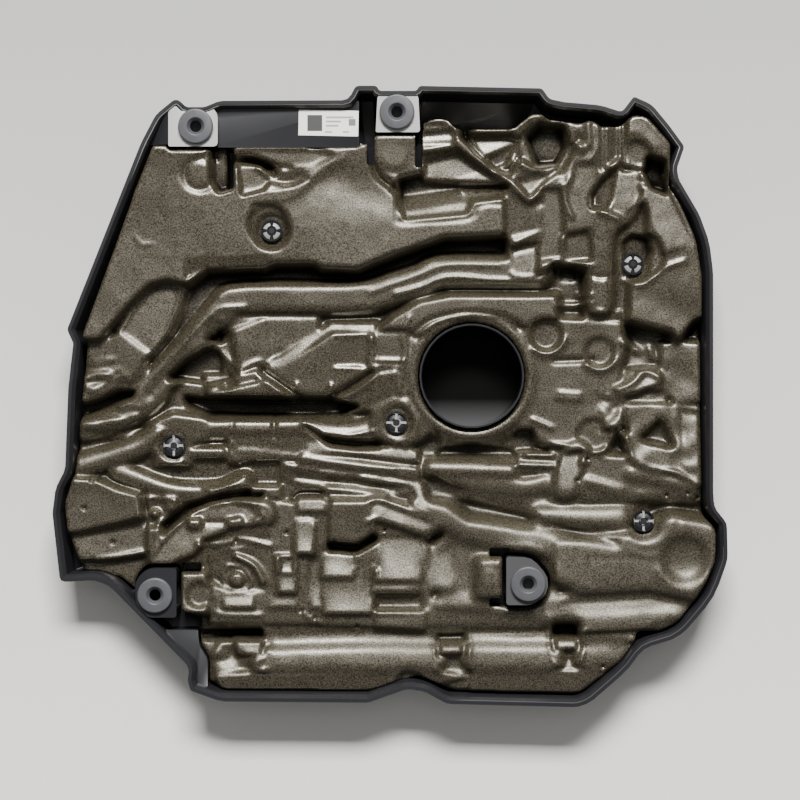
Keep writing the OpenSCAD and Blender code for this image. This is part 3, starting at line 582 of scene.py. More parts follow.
# Upper middle: bracket tongue, stepped block and bathtub
facet([(-16, 210, 1), (17, 210, 1), (17, 178, 2), (12, 173, 4), (-14, 178, 3), (-18, 186, 2)])
crease([(-17, 184), (-12, 174), (-4, 168), (0, 164)], 2, 9)
disc(0, 190, 10, 1.5, 3)
facet([(22, 216, 3), (42, 217, 4), (44, 213, 1), (22, 211, 1)])
facet([(22, 210, 6), (46, 212, 6), (54, 198, 1), (24, 192, 1), (22, 200, 3)])
crease([(24, 200), (50, 201)], 1, 1.5)
sink([(23, 192), (52, 197), (52, 193), (24, 186)], 8, 2)
facet([(24, 188, 13), (52, 194, 13), (72, 179, 12), (46, 171, 11), (24, 173, 11)])
facet([(44, 171, 11), (74, 179, 11), (88, 171, 9), (88, 168, 8), (55, 168, 9)])
sink([(5, 172), (22, 176), (22, 171), (55, 169), (90, 168), (88, 165), (55, 166), (5, 158)], 20, 2)
facet([(4, 159, 19), (50, 165, 18), (56, 159, 13), (54, 155, 9), (6, 148, 8)])
facet([(55, 165, 16), (92, 167, 14), (90, 158, 8), (56, 156, 9)])
facet([(6, 148, 8), (54, 156, 9), (62, 154, 8), (58, 145, 5), (8, 140, 4)])
crease([(2, 160), (2, 143), (8, 137), (60, 141), (64, 148), (72, 152), (88, 152)], 1.4, 1.6)
# Crossing ridge and troughs behind it
sink([(56, 208), (94, 208), (100, 192), (90, 178), (79, 182), (64, 196)], 14, 3)
facet([(58, 207, 15), (102, 206, 15), (97, 186, 9), (79, 182, 8)])
crease([(50, 202), (64, 190), (79, 179), (94, 168), (108, 157), (118, 168), (130, 183), (146, 200)], 2.2, -5)
sink([(74, 190), (96, 200), (90, 186), (80, 182)], 16, 3)
facet([(96, 172, 7), (120, 180, 10), (147, 204, 13), (136, 184, 9), (109, 157, 5)])
crease([(95, 171), (108, 158), (120, 169), (124, 178), (95, 171)], 1.3, -1.8)
crease([(107, 152), (111, 153)], 3, -3)
crease([(60, 208), (92, 210)], 2.5, -2)
crease([(94, 212), (108, 222), (118, 224)], 3, -2)
facet([(121 + 22 * math.cos(k / 4), 199 + 19 * math.sin(k / 4), 9) for k in range(25)])
sink([(108, 206), (118, 215), (134, 213), (137, 200), (130, 187), (116, 186)], 24, 5)
crease([(100, 185), (116, 180), (130, 182)], 3, -3)
# Window pocket and its ramp
facet([(88, 165, 6), (106, 152, 5), (124, 150, 8), (126, 128, 9), (90, 122, 8)])
facet([(92, 126, 7), (112, 134, 9), (118, 130, 7), (95, 118, 3)])
sink([(94, 118), (116, 122), (115, 116), (94, 111)], 14, 1.5)
facet([(94, 113, 13), (115, 118, 13), (115, 98, 11), (94, 98, 11)])
crease([(94, 97), (96, 95.5), (114, 96), (116, 104)], 1.3, -3)
# Long duct east of the plateau
crease([(-20, 82), (2, 90), (22, 97), (42, 104), (84, 104)], 1.4, -1.4)
crease([(0, 81), (20, 86), (42, 94), (68, 93), (75, 92), (117, 92), (122, 96)], 1.5, -2.5)
# Upper right field
crease([(155, 219), (156, 200)], 2.5, -3)
crease([(162, 219), (162, 196), (140, 172), (138, 168)], 2, -2.5)
crease([(148, 205), (133, 180)], 3, 5)
crease([(143, 203), (150, 197)], 3, -4)
facet([(145, 185, 6), (162, 185, 6), (164, 145, 5), (155, 128, 3), (138, 130, 3), (136, 150, 5)])
facet([(118, 165, 8), (134, 165, 9), (136, 128, 9), (120, 120, 9)])
sink([(138, 128), (156, 131), (158, 108), (134, 106)], 10, 2)
crease([(134, 168), (136, 156), (142, 142)], 1.6, -3)
facet([(165, 216, 5), (170, 216, 3), (170, 178, 4), (165, 180, 9)])
facet([(170, 216, 3), (180, 216, 8), (180, 190, 12), (170, 182, 4)])
dish(193, 193, 12.5, 7)
facet([(188, 222, 3), (200, 222, 4), (216, 200, 4), (206, 194, 1), (196, 208, 1), (186, 208, 3)])
sink([(204, 190), (216, 186), (219, 160), (210, 162), (202, 178)], 22, 3)
crease([(180, 184), (184, 181), (202, 180)], 1.5, 4)
facet([(158, 160, 17), (166, 172, 15), (178, 182, 14), (184, 176, 10), (176, 160, 8), (170, 148, 10),
    (158, 150, 14)])
facet([(178, 180, 9), (196, 180, 9), (204, 170, 8), (187, 138, 6), (172, 146, 6)])
crease([(204, 166), (196, 152), (187, 138)], 1.8, -3)
crease([(165, 147), (180, 141)], 2.2, -3.2)
crease([(201, 172), (198, 175)], 2, -3)
crease([(213, 160), (222, 160)], 1.4, -3)
sink([(188, 146), (196, 152), (202, 150), (202, 128), (186, 128)], 8, 2)
dish(200, 112, 19, 8)
sink([(184, 122), (191, 128), (203, 126), (206, 114), (200, 104), (186, 108)], 21, 3)
crease([(184, 92), (200, 88), (214, 100), (232, 107)], 1.6, -2.2)
crease([(155, 97), (165, 94), (176, 96)], 1.4, 2.5)
facet([(196, 170, 4), (222, 160, 6), (240, 120, 2), (216, 112, 0), (204, 140, 1)])
# Plates and hollows left of the well
facet([(-100, 25, 14), (-90, 26, 13), (-70, 38, 12), (-52, 48, 12), (-16, 48, 12), (-16, 18, 10),
    (-50, -1, 12), (-80, -1, 12), (-104, 18, 14)])
facet([(-104, 27, 17), (-92, 31, 18), (-52, 59, 18), (-14, 59, 18), (-14, 50, 12), (-50, 50, 12),
    (-88, 24, 12), (-100, 23, 13)])
sink(block(-48, 46, -22, 22), 13, 0.8)
crease([(-48, 21.5), (-28, 21.5)], 1, -1.5)
crease([(-18, 46.5), (-18, 43.5)], 2.5, -3)
facet([(-52, -3, 14), (-16, 16, 12), (2, 20, 10), (5, 0, 10), (0, -8, 12), (-20, -14, 18), (-50, -16, 22)])
crease([(-14, 27.5), (8, 27)], 1.2, -2.4)
crease([(-13, 23), (5, 22)], 1.2, -2)
crease([(12, 62), (7, 50), (9, 35), (5, 15), (4, 0)], 2, -2)
sink([(-170, -2), (-150, -3), (-80, -4), (-52, -4), (-30, -10), (-44, -16), (-90, -17), (-150, -16),
    (-168, -8)], 34, 3)
facet([(-20, -12, 15), (0, -2, 10), (10, -4, 9), (20, -20, 9), (18, -38, 11), (0, -42, 12), (-18, -34, 13)])
crease([(-107, 19), (-80, 0), (-76, -2)], 1.7, 9)
crease([(-52, -2), (-34, 8), (-18, 18)], 1.7, 9)
crease([(-110, 15), (-84, -4)], 1.4, -2)
crease([(-48, -6), (-28, 4), (-17, 14), (-15, 22)], 1.6, -3)
crease([(-79, 9), (-78, 2)], 1.2, -3)
crease([(-51, 8), (-51, 2)], 1.2, -3)
sink([(-142, 7), (-135, 9.5), (-127, 9), (-135, 6)], 22, 0.8)
crease([(-130, -29.5), (-97, -29.5)], 0.9, -1.2)
crease([(-97, -16), (-97, -30)], 1.1, 2.5)
crease([(-74, -22), (-60, -31), (-40, -34), (-18, -30)], 1.7, -2.6)
facet([(-70, -36, 18), (-20, -40, 17), (20, -44, 14), (20, -56, 13), (-30, -50, 14), (-72, -47, 15)])
sink([(-72, -26), (-58, -34), (-38, -37), (-14, -38), (-12, -42), (-30, -43), (-52, -40)], 26, 3)
# Folds and ribs between the lozenge and the blocks
facet([(-92, -54, 16), (-40, -58, 14), (20, -58, 14), (22, -84, 18), (-50, -82, 20), (-92, -68, 20)])
crease([(-74, -51), (-50, -55), (0, -61)], 2.2, -1.6)
crease([(-86, -58), (-45, -64), (0, -70), (20, -76)], 2, -1.6)
crease([(-60, -60), (-20, -64), (14, -70)], 1.4, 2)
crease([(-80, -66), (-40, -71), (0, -76)], 2.5, 3)
wrinkles([(-60, -58), (20, -64), (20, -82), (-60, -76)], 0.6, 4, 1.2, 5)
crease([(-54, -77), (-30, -79), (-8, -82)], 3, -3.5)
crease([(-133, -47), (-131, -52), (-124, -54), (-76, -53)], 1, -1.6)
crease([(-82, -85), (-78, -80), (-58, -80), (-53, -85)], 1.6, 7)
rise(block(-116, -74, -91, -84), 15, 1.5)
crease([(-150, -84), (-132, -80), (-118, -80)], 2, 6)
crease([(-150, -77), (-132, -74), (-118, -73)], 3, -3)
# Lower left plates, capsule tab and crescent
facet([(-262, -114, 15), (-203, -103, 20), (-200, -128, 17), (-230, -132, 16), (-262, -134, 16)])
crease([(-240, -134), (-220, -131), (-203, -127)], 1.6, -3)
crease([(-258, -70), (-240, -66), (-218, -78)], 8, -1.5)
crease([(-204, -76), (-205, -98)], 1.5, -2.5)
rise([(-199, -107), (-188, -107), (-187, -126), (-193, -131), (-199, -126)], 11, 1.5)
crease([(-195, -110), (-195, -125), (-191, -127), (-190, -112)], 0.9, 1.5)
facet([(-202, -80, 16), (-178, -80, 14), (-172, -88, 14), (-185, -104, 18), (-198, -104, 20)])
wrinkles([(-200, -80), (-175, -80), (-172, -88), (-185, -106), (-200, -106)], 1.3, 3, 3, 6)
duct([(-187, -132), (-171, -114), (-151, -102), (-128, -96), (-106, -96)], 12, 10, 0.6)
knob(-187, -105, 4.5, 12)
knob(-193, -96, 3.5, 12)
knob(-180, -92, 3, 12)
sink([(-185, -110), (-165, -94), (-150, -86), (-130, -83), (-108, -83), (-106, -80), (-140, -81),
    (-165, -88), (-188, -105)], 26, 2)
crease([(-200, -83), (-182, -84), (-165, -86), (-145, -79), (-118, -66)], 1.3, -2.5)
facet([(-196, -134, 10), (-184, -116, 14), (-170, -102, 16), (-152, -90, 16), (-130, -86, 15),
    (-110, -90, 14), (-106, -99, 12), (-130, -107, 12), (-150, -118, 11), (-162, -130, 10), (-184, -137, 9)])
rise([(-166, -100), (-157, -99.5), (-154, -104), (-157, -108), (-164, -108), (-167, -104)], 9.5, 1)
rise([(-135, -100), (-123, -99), (-121, -103), (-124, -106), (-134, -106.5)], 9.5, 1)
crease([(-154, -103), (-135, -103)], 0.9, 2)
crease([(-114, -90), (-106, -98), (-112, -101)], 1.4, -2.5)
facet([(-155, -118, 20), (-128, -109, 16), (-103, -104, 14), (-100, -112, 14), (-125, -122, 18),
    (-150, -128, 22)])
crease([(-158, -120), (-140, -121), (-122, -117), (-100, -122)], 1.5, -3)
crease([(-156, -122), (-152, -130), (-157, -145)], 1.6, -3)
facet([(-150, -126, 22), (-128, -126, 17), (-108, -128, 16), (-104, -158, 18), (-134, -158, 20),
    (-150, -150, 22)])
crease([(-128, -130), (-113, -138), (-106, -151)], 2.4, -6)
crease([(-136, -138), (-122, -140), (-116, -150), (-120, -157), (-134, -157), (-138, -150), (-136, -138)],
    1.3, -3)
knob(-127, -149, 6, 13)
facet([(-140, -158, 19), (-138, -161, 15), (-113, -161, 15), (-113, -172, 11.5), (-138, -172, 11.5)])
crease([(-146, -163), (-143, -176), (-108, -178)], 1.8, -2.5)
facet(block(-172, -143, -150, -176, 9, 6))
disc(-157, -161, 10, 12, 3)
sink([(-158, -190), (-108, -190), (-106, -198), (-156, -198)], 34, 2)
rise(block(-128, -199, -107, -210), 13, 2)
facet(block(-127, -200, -108, -209, 15, 12))
wrinkles([(-150, -200), (-104, -212), (-104, -236), (-150, -236)], 1.2, 4, 3, 7)
crease([(-150, -232), (-120, -224), (-104, -222)], 2, -3)
# Ramps and steps of the lower middle
ramp(-77, -56, -83, -95, 17, 12)
ramp(-81, -65, -100, -129, 17, 8)
ramp(-92, -81, -131, -143, 17, 13)
ramp(-95, -80, -144, -160, 17, 10)
ramp(-102, -79, -162, -172, 17, 13)
ramp(-69, -59, -132, -173, 20, 13)
ramp(-60, -33, -124, -148, 24, 12)
ramp(-58, -18, -149, -177, 18, 10)
ramp(-14, 22, -114, -151, 24, 9)
ramp(-16, 21, -152, -160, 13, 11)
crease([(-17, -140), (-17, -158)], 1.6, -3)
facet([(-15, -161, 21), (22, -161, 21), (24, -173, 21), (-15, -173, 21)])
crease([(-14, -164), (20, -164)], 0.8, -1.5)
facet([(-16, -174, 12.5), (26, -174, 12.5), (25, -190, 12), (-16, -188, 12)])
crease([(-15, -175), (26, -175)], 1.3, -2.4)
ramp(28, 47, -121, -158, 22, 12)
crease([(28, -122), (44, -123)], 1.2, -2)
sink([(25, -119), (31, -114), (38, -110), (40, -113), (34, -118), (30, -121)], 30, 0.8)
ramp(35, 76, -160, -173, 17, 12)
dish(33, -162, 3.5, 24)
crease([(-75, -173), (-70, -180), (-63, -181), (-58, -187), (-20, -187), (-14, -190), (30, -191)], 1.2, -1.8)
facet([(-20, -88, 12.5), (-14, -85, 13), (32, -103, 12.5), (28, -114, 9), (-18, -99, 9)])
crease([(-38, -99), (-28, -103), (-15, -100)], 1.5, -2.5)
facet([(-52, -86, 10), (-24, -86, 10), (-24, -104, 10), (-36, -116, 10), (-52, -118, 10)])
sink([(-54, -119), (-30, -121), (-16, -113), (-14, -118), (-30, -127), (-54, -126)], 26, 1.5)
facet([(-146, -226, 16), (-100, -223, 14), (30, -222, 14), (60, -228, 16), (20, -240, 18), (-140, -240, 18)])
crease([(-105, -221), (-60, -218), (30, -217)], 1.2, -1.6)
crease([(-104, -196), (-40, -193), (28, -196)], 4, 1)
facet(block(34, -193, 57, -199, 26, 26))
facet(block(36, -201, 55, -210, 14, 11))
crease([(30, -205), (33, -222), (58, -223), (61, -205)], 1.6, -2)
dish(12, -234, 14, 20)
# Lower right: diagonal ducts, cushion and the window beside the bracket
crease([(48, -86), (75, -91), (115, -101), (150, -112), (178, -119)], 2.2, 7)
crease([(60, -80), (100, -85), (138, -87), (150, -79), (185, -84), (202, -80), (240, -84)], 1.5, -3)
facet([(130, -60, 14), (148, -56, 12), (152, -78, 12), (142, -86, 11), (130, -80, 12)])
dish(194, -84, 4, 20)
crease(arc(194, -84, 5.5, 0, 360), 1.2, -3)
facet([(112, -92, 12), (186, -90, 12.5), (190, -106, 10), (118, -103, 10)])
crease(arc(203, -101, 20, -150, 10), 1.6, -1.6)
crease(arc(205, -103, 27, -130, 0), 1.6, -1.6)
crease([(157, -132), (213, -133), (214, -152), (160, -152), (157, -132)], 0.9, 1.2)
disc(233, -132, 18, 9.5, 4)
bowl(233, -132, 17, 3.5)
crease([(212, -140), (222, -154), (238, -158), (252, -146)], 2.5, -2)
crease([(86, -123), (112, -123.5), (127, -136), (131, -152), (124, -168), (108, -175), (86, -174)], 2, -3)
rise([(120, -165), (150, -158), (205, -155), (245, -165), (248, -180), (150, -192), (120, -185)], 12, 3)
sink([(128, -171), (150, -164), (205, -160), (240, -169), (205, -166), (150, -169)], 14, 2)
facet([(150, -191, 14), (200, -188, 12), (234, -178, 11), (226, -192, 14), (196, -200, 15), (150, -206, 16)])
crease([(150, -190), (200, -187), (232, -177)], 1.4, -2)
crease([(92, -176), (125, -180), (140, -186)], 3, -2.5)
facet(block(66, -132, 90, -164, 5, 5))
crease(arc(76.5, -148, 10, 0, 360), 1.2, 2)
facet(block(128, -184, 148, -195, 30, 30))
facet(block(129, -196, 148, -206, 16, 12))
crease([(125, -186), (126, -214), (150, -215), (152, -188)], 1.8, -2.5)
facet([(62, -223, 15), (120, -221, 14), (176, -221, 14), (150, -242, 18), (60, -240, 18)])
crease([(62, -221), (120, -219), (178, -220)], 1.2, -1.8)
crease([(50, -193), (90, -191), (125, -189)], 2, 1)
facet([(182, -206, 13), (196, -200, 13), (190, -214, 14), (168, -230, 15), (160, -224, 14)])
wrinkles([(176, -196), (200, -194), (176, -224), (164, -222)], 1.2, 3, 3, 8)
# Ring of the well and the block right of it
crease(arc(62, 15, 48, 0, 360), 4, -2)
sink([(36, -43.5), (62, -40), (94, -43.5), (99, -50), (34, -50)], 28, 2)
crease([(14, 48), (28, 59), (45, 64), (62, 66), (85, 63), (99, 57)], 1.5, 4)
crease(arc(122, 48, 15, -130, -15), 2.5, -3.5)
crease(arc(165, 34, 14, -140, -30), 2.5, -3.5)
crease([(128, 27), (160, 28)], 1.3, 5)
crease([(132, 1.5), (150, 0)], 1.2, -2.6)
crease([(131, -2.5), (150, -4)], 1.4, -2.6)
crease([(111, -20), (127, -27)], 1.4, -3)
sink([(96, -34), (100, -29), (110, -29), (113, -36), (111, -47), (96, -47)], 26, 3)
facet(block(98, -46, 130, -64, 18, 18))
crease([(118, -40.5), (150, -41)], 1.6, -3.5)
crease([(106, -48), (128, -49)], 1.9, -5)
crease([(100, -56.5), (128, -57.5)], 2.2, -5)
duct([(147, -46), (141, -62), (137, -76)], 11, 8)
facet([(135, -47, 14), (151, -45, 14), (146, -82, 7), (130, -81, 7)])
crease([(151, -43), (162, -46.5), (172, -44), (182, -48)], 1.7, -3.5)
crease([(150, -54), (170, -57), (183, -52)], 1.6, -3)
facet([(166, -3, 14), (183, -3, 14), (185, -26, 9), (168, -28, 9)])
wrinkles([(164, 0), (186, 0), (188, -30), (166, -32)], 1.2, 3, 3, 9)
sink(block(133, 88, 146, 74), 20, 1.5)
crease([(131, 72), (147, 72)], 1.6, -4)
crease([(149, 80), (156, 80)], 1.8, -3.5)
crease([(149, 73), (156, 73)], 1.8, -3.5)
crease([(128, 61.5), (186, 60.5)], 1.3, -2.2)
crease([(156, 66), (181, 66)], 1.6, -3)
# Folds towards the right edge
facet([(214, 42, 19), (232, 44, 17), (262, 42, 13), (262, -8, 12), (226, -8, 14), (214, 8, 17)])
rise([(150, -48), (190, -50), (225, -64), (248, -74), (248, -86), (150, -86)], 13.5, 3)
duct([(156, -70), (182, -78)], 6, 10.5, 0)
duct([(190, -64), (215, -69), (240, -77)], 7, 10, 0)
facet([(176, 6, 12), (190, 21, 17), (212, 22, 16), (216, 10, 10), (196, 1, 8), (180, -1, 8.5)])
crease([(178, 4), (192, 10), (201, 19), (214, 14)], 2.2, -3.5)
crease([(184, 42), (197, 35)], 2.4, -4)
crease([(206, 37), (209, 30)], 2.2, -3.5)
facet([(228, -7, 18), (262, -7, 18), (262, -76, 8), (242, -74, 8), (230, -48, 11)])
crease([(226, -9), (246, -12)], 2.2, -2.5)
facet([(184, -7, 14), (229, -7, 15), (231, -62, 10), (208, -60, 10), (190, -50, 10)])
sink([(215, -22), (222, -40), (201, -35)], 22, 9)
crease([(184, -30), (190, -51), (208, -61), (225, -63), (243, -73)], 2.2, -4)
wrinkles(block(184, 50, 246, -60), 0.7, 5, 5, 10)
crease([(190, 88), (240, 60)], 14, 1.5)
crease([(20, -50), (60, -52), (94, -51)], 2, -2)
sink([(20, -68), (32, -67), (56, -78), (47, -86), (28, -84)], 24, 2)
facet([(14, -72, 16), (24, -70, 16), (28, -92, 11), (18, -92, 11)])
# Broad, softly lit back of the long bottom duct
facet([(-104, -204, 14), (32, -203, 14), (32, -222, 11.5), (-104, -224, 11.5)])
facet(block(62, -203, 126, -222, 13.5, 11.5))
facet([(153, -204, 13.5), (186, -203, 13.5), (184, -218, 12), (153, -220, 12)])

# The retainers sit in round pockets, each as deep as its own seat.
clips = [f"clip_{k}" for k in range(1, 6)]
pocket_past_clip = (1.5, 5, 7.5)         # where its floor ends, its wall turns steep, and it is open
pocket_wall_foot = 2.2
for name in clips:
    low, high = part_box(name)
    x0, y0 = (low.x + high.x) / 2 / MM - datum[0], (low.y + high.y) / 2 / MM - datum[1]
    clip_r, seat = (high.x - low.x) / 2 / MM, (foam_high.z - low.z) / MM
    where, x, y = around([(x0, y0)], clip_r + 8)
    past_clip = np.hypot(x - x0, y - y0) - clip_r
    pocket = np.interp(past_clip, pocket_past_clip, (seat, seat - pocket_wall_foot, -1))
    depth[where] = np.maximum(depth[where], pocket)

# Moulding rounds every edge. The lower right and the back of the bottom duct are worn smoother.
edge_round, worn_round = 1.4, 3
depth = blurred(depth, edge_round, edge_round)
worn_left, worn_top, worn_foot = 5, -62, -192
worn_smooth = (0.8 * fade(plan_x - worn_left, 30) * fade(worn_top - plan_y, 15)
               * fade(plan_y - worn_foot, 6))
back_top, back_foot, back_edge = -193, -228, 4
for x0, x1 in ((-101, 32), (61, 125), (153, 190)):
    inside = np.minimum.reduce([plan_x - x0, x1 - plan_x, plan_y - back_foot, back_top - plan_y])
    worn_smooth = np.maximum(worn_smooth, fade(inside, back_edge))
depth += worn_smooth * (blurred(depth, worn_round, worn_round) - depth)

# Bubbles left pinholes in the skin, and it swells a little, unevenly.
pinhole_deep, pinhole_spread = 5, 1.6
for x0, y0 in ((-128, -118), (-87, -111), (-49, -118), (-8, -109), (-75, -174), (-64, -180), (-30, -187),
               (155, -52), (147, -69), (219, -81), (236, -79), (244, -83), (168, -219), (-237, -68),
               (-243, -69), (-249, -91), (-227, -119)):
    where, x, y = around([(x0, y0)], pinhole_deep)
    depth[where] += pinhole_deep * np.exp(-((x - x0) ** 2 + (y - y0) ** 2) / pinhole_spread)
swell = np.random.default_rng(11).normal(size=depth.shape)
for height, radius in ((4, 9), (0.4, 2.8)):
    depth += height * blurred(swell, radius, radius)

# The foam's outline and underside are those of its CAD solid, and its skin turns down at the edge.
solid = frame["nodes"]["foam_inlay"].data
probe = BVHTree.FromPolygons([v.co for v in solid.vertices], [p.vertices[:] for p in solid.polygons])
grid_x, grid_y = np.meshgrid(xs * MM, ys * MM)


def underside(x, y):
    """Height of the foam's underside at a place, or not a number beside the foam."""
    hit = probe.ray_cast(Vector((x, y, -0.01)), Vector((0, 0, 1)))[0]
    return hit.z if hit else math.nan


bottom = np.array([underside(x, y) for x, y in zip(grid_x.flat, grid_y.flat)]).reshape(grid_x.shape)
held = ~np.isnan(bottom)
turn_reach, turn_down = 1.5, 1.6
edge_share = fade(0.97 - blurred(held.astype(float), turn_reach, turn_reach), 0.47)
depth = np.maximum(depth, 0) + turn_down * edge_share ** 2
top = foam_high.z - depth * MM

# Skin: whole squares of the grid inside the outline, squares cut by it along its crossing points.
number = np.where(held, np.cumsum(held).reshape(held.shape) - 1, -1)
points = [Vector(p) for p in zip(grid_x[held], grid_y[held], top[held])]
floors = list(bottom[held])
inner_count = len(points)
halvings = 7                             # of a grid line, to find the outline on it
least_step = 0.02                        # of a grid line, so that no two points of the skin meet
crossings = {}


def crossing(a, b):
    """The skin's point where the outline cuts the grid line between two neighbours."""
    if not held[a]:
        a, b = b, a
    if (a, b) not in crossings:
        start, end = (Vector((grid_x[c], grid_y[c], top[c])) for c in (a, b))
        low, high = 0.0, 1.0
        for _ in range(halvings):
            half = (low + high) / 2
            middle = start.lerp(end, half)
            low, high = (low, half) if math.isnan(underside(middle.x, middle.y)) else (half, high)
        crossings[a, b] = len(points)
        points.append(start.lerp(end, max(low, least_step)))
        floors.append(bottom[a])
    return crossings[a, b]


faces = []
for j, i in np.ndindex(held.shape[0] - 1, held.shape[1] - 1):
    square = [(j, i), (j, i + 1), (j + 1, i + 1), (j + 1, i)]
    if not any(held[c] for c in square):
        continue
    face = []
    for here, after in zip(square, square[1:] + square[:1]):
        if held[here]:
            face.append(int(number[here]))
        if held[here] != held[after]:
            face.append(crossing(here, after))
    faces.append(face)

# Side walls drop from the outline to the underside, which has a coarse net of its own.
used = dict.fromkeys((a, b) for face in faces for a, b in zip(face, face[1:] + face[:1]))
border = [(a, b) for a, b in used if (b, a) not in used]
foot_of = {}
for a, b in border:
    foot_of[a] = len(points)
    points.append(Vector((points[a].x, points[a].y, min(floors[a], points[a].z - MM))))
faces += [[b, a, foot_of[a], foot_of[b]] for a, b in border]
net_step = 12
net = [(j, i) for j in range(0, held.shape[0], net_step) for i in range(0, held.shape[1], net_step)
       if edge_share[j, i] == 0 and held[j, i]]
feet = list(foot_of.values())
rank = {foot: k for k, foot in enumerate(feet)}
plan = [points[f].xy for f in feet] + [Vector((grid_x[c], grid_y[c])) for c in net]
for c in net:
    feet.append(len(points))
    points.append(Vector((grid_x[c], grid_y[c], bottom[c])))
ends = [(rank[foot_of[a]], rank[foot_of[b]]) for a, b in border]
flat_points, _, triangles, sources, _, _ = delaunay_2d_cdt(plan, ends, [], 1, 1e-9, True)
for triangle in triangles:
    centre = sum((flat_points[k] for k in triangle), Vector((0, 0))) / 3
    if not math.isnan(underside(centre.x, centre.y)):
        faces.append([feet[sources[k][0]] for k in reversed(triangle)])

foam = put_in_scene("moulded_foam", flat_mesh("moulded_foam", points, faces))
foam.data.shade_smooth()
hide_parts("foam_inlay")
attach(foam, "root")

# Moulded polyurethane foam is grey-brown, yellower on steep walls and speckled, with painted shade that
# darkens its hollows, under a thin glossy skin with scattered open pores.
speck_size = MM / 0.95                   # drawn coarser than it is, so that it shows
patch_size = MM / 0.022
gloss_spread = MM / 0.009
pore_gap = MM / 0.095
matt_from, matt_to = -60 * MM, -190 * MM  # duller towards the photo's foot
wall_slope = 1.6                         # from which a wall counts as steep
hollow_reach, hollow_deep = 9, 18        # millimetres
slope = np.hypot(*np.gradient(depth, grid))
# Painted shade: how far each point sinks below its surroundings darkens its colour and its reflection.
hollow = depth - blurred(depth, hollow_reach, hollow_reach)
tints = {"steepness": (fade(slope, wall_slope), 1.0),
         "hollow": (fade(hollow_deep / 2 + hollow, hollow_deep), 0.5)}
for name, (field, elsewhere) in tints.items():
    values = np.full(len(points), elsewhere)
    values[:inner_count] = field[held]
    for (inner, _), k in crossings.items():
        values[k] = field[inner]
    foam.data.attributes.new(name, "FLOAT", "POINT").data.foreach_set("value", values)

foam_skin, tree, shader, place, axes = new_material("moulded_polyurethane_foam")
steep = add_node(tree, "Attribute", {"attribute_name": "steepness"}).outputs["Fac"]
sunk = add_node(tree, "Attribute", {"attribute_name": "hollow"}).outputs["Fac"]
speckle = add_node(tree, "TexNoise", {}, {"Scale": 1 / speck_size, "Detail": 2}, {"Vector": place})
patches = add_node(tree, "TexNoise", {}, {"Scale": 1 / patch_size, "Detail": 3}, {"Vector": place})
glossy = add_node(tree, "TexNoise", {}, {"Scale": 1 / gloss_spread, "Detail": 2}, {"Vector": place})
cells = add_node(tree, "TexVoronoi", {}, {"Scale": 1 / pore_gap}, {"Vector": place})
pore_size = add_node(tree, "MapRange", {},
                     {"From Min": 0.3, "From Max": 0.75, "To Min": 0, "To Max": 0.13}, {"Value": patches})
pore = add_node(tree, "Math", {"operation": "LESS_THAN"}, {}, {0: cells, 1: pore_size})
speck = add_node(tree, "MapRange", {}, {"From Min": 0.34, "From Max": 0.66}, {"Value": speckle})
flat_tone = add_node(tree, "MixRGB", {}, {"Color1": linear("#0c0a07"), "Color2": linear("#433c2f")},
                     {"Fac": speck})
wall_grain = add_node(tree, "MixRGB", {}, {"Color1": linear("#14110c"), "Color2": linear("#4c4636")},
                      {"Fac": speck})
wall_tone = add_node(tree, "MixRGB", links={"Fac": steep, "Color1": flat_tone, "Color2": wall_grain})
# Painted shade in the hollows, for colour and for reflection.
painted_shade = add_node(tree, "MapRange", {}, {"From Min": 0.63, "From Max": 1.0, "To Min": 1, "To Max": 0.08},
                 {"Value": sunk})
tone = add_node(tree, "MixRGB", {}, {"Color2": linear("#14120e")}, {"Fac": pore, "Color1": wall_tone})
shaded = add_node(tree, "VectorMath", {"operation": "SCALE"}, {}, {"Vector": tone, "Scale": painted_shade})
gloss = add_node(tree, "MapRange", {}, {"From Min": 0.38, "From Max": 0.62, "To Min": 0.26, "To Max": 0.39},
                 {"Value": glossy})
matt = add_node(tree, "MapRange", {}, {"From Min": matt_from, "From Max": matt_to, "To Max": 0.1},
                {"Value": axes["Y"]})
gloss = add_node(tree, "Math", {"operation": "ADD"}, {}, {0: gloss, 1: matt})
shine = add_node(tree, "MapRange", {}, {"To Min": 0.35, "To Max": 1.0}, {"Value": speck})
shine = add_node(tree, "Math", {"operation": "MULTIPLY"}, {}, {0: shine, 1: painted_shade})
fine = add_node(tree, "Bump", {}, {"Strength": 0.22, "Distance": 0.4 * MM}, {"Height": speckle})
pits = add_node(tree, "Bump", {"invert": True}, {"Strength": 0.8, "Distance": MM},
                {"Height": pore, "Normal": fine})
feed(shader, {"IOR": 1.7, "Specular Tint": linear("#f5eedd")},
     {"Base Color": shaded, "Roughness": gloss, "Specular IOR Level": shine, "Normal": pits})
foam.data.materials.append(foam_skin)

# Push-on retainers: cups of glossy black nylon with a cross of ribs round the stud. On the lower
# ones the rib tops are painted pale, a painted highlight.
clip_bevel = 0.25 * MM
rib_half, rib_reach, rib_deep = 1.1 * MM, 7.9 * MM, 0.8 * MM
rib_highlight_below = 60 * MM
scuff_size = MM / 0.3

glossy_nylon, tree, shader, place, axes = new_material("glossy_black_nylon")
scuffs = add_node(tree, "TexNoise", {}, {"Scale": 1 / scuff_size, "Detail": 3}, {"Vector": place})
gloss = add_node(tree, "MapRange", {}, {"To Min": 0.18, "To Max": 0.34}, {"Value": scuffs})
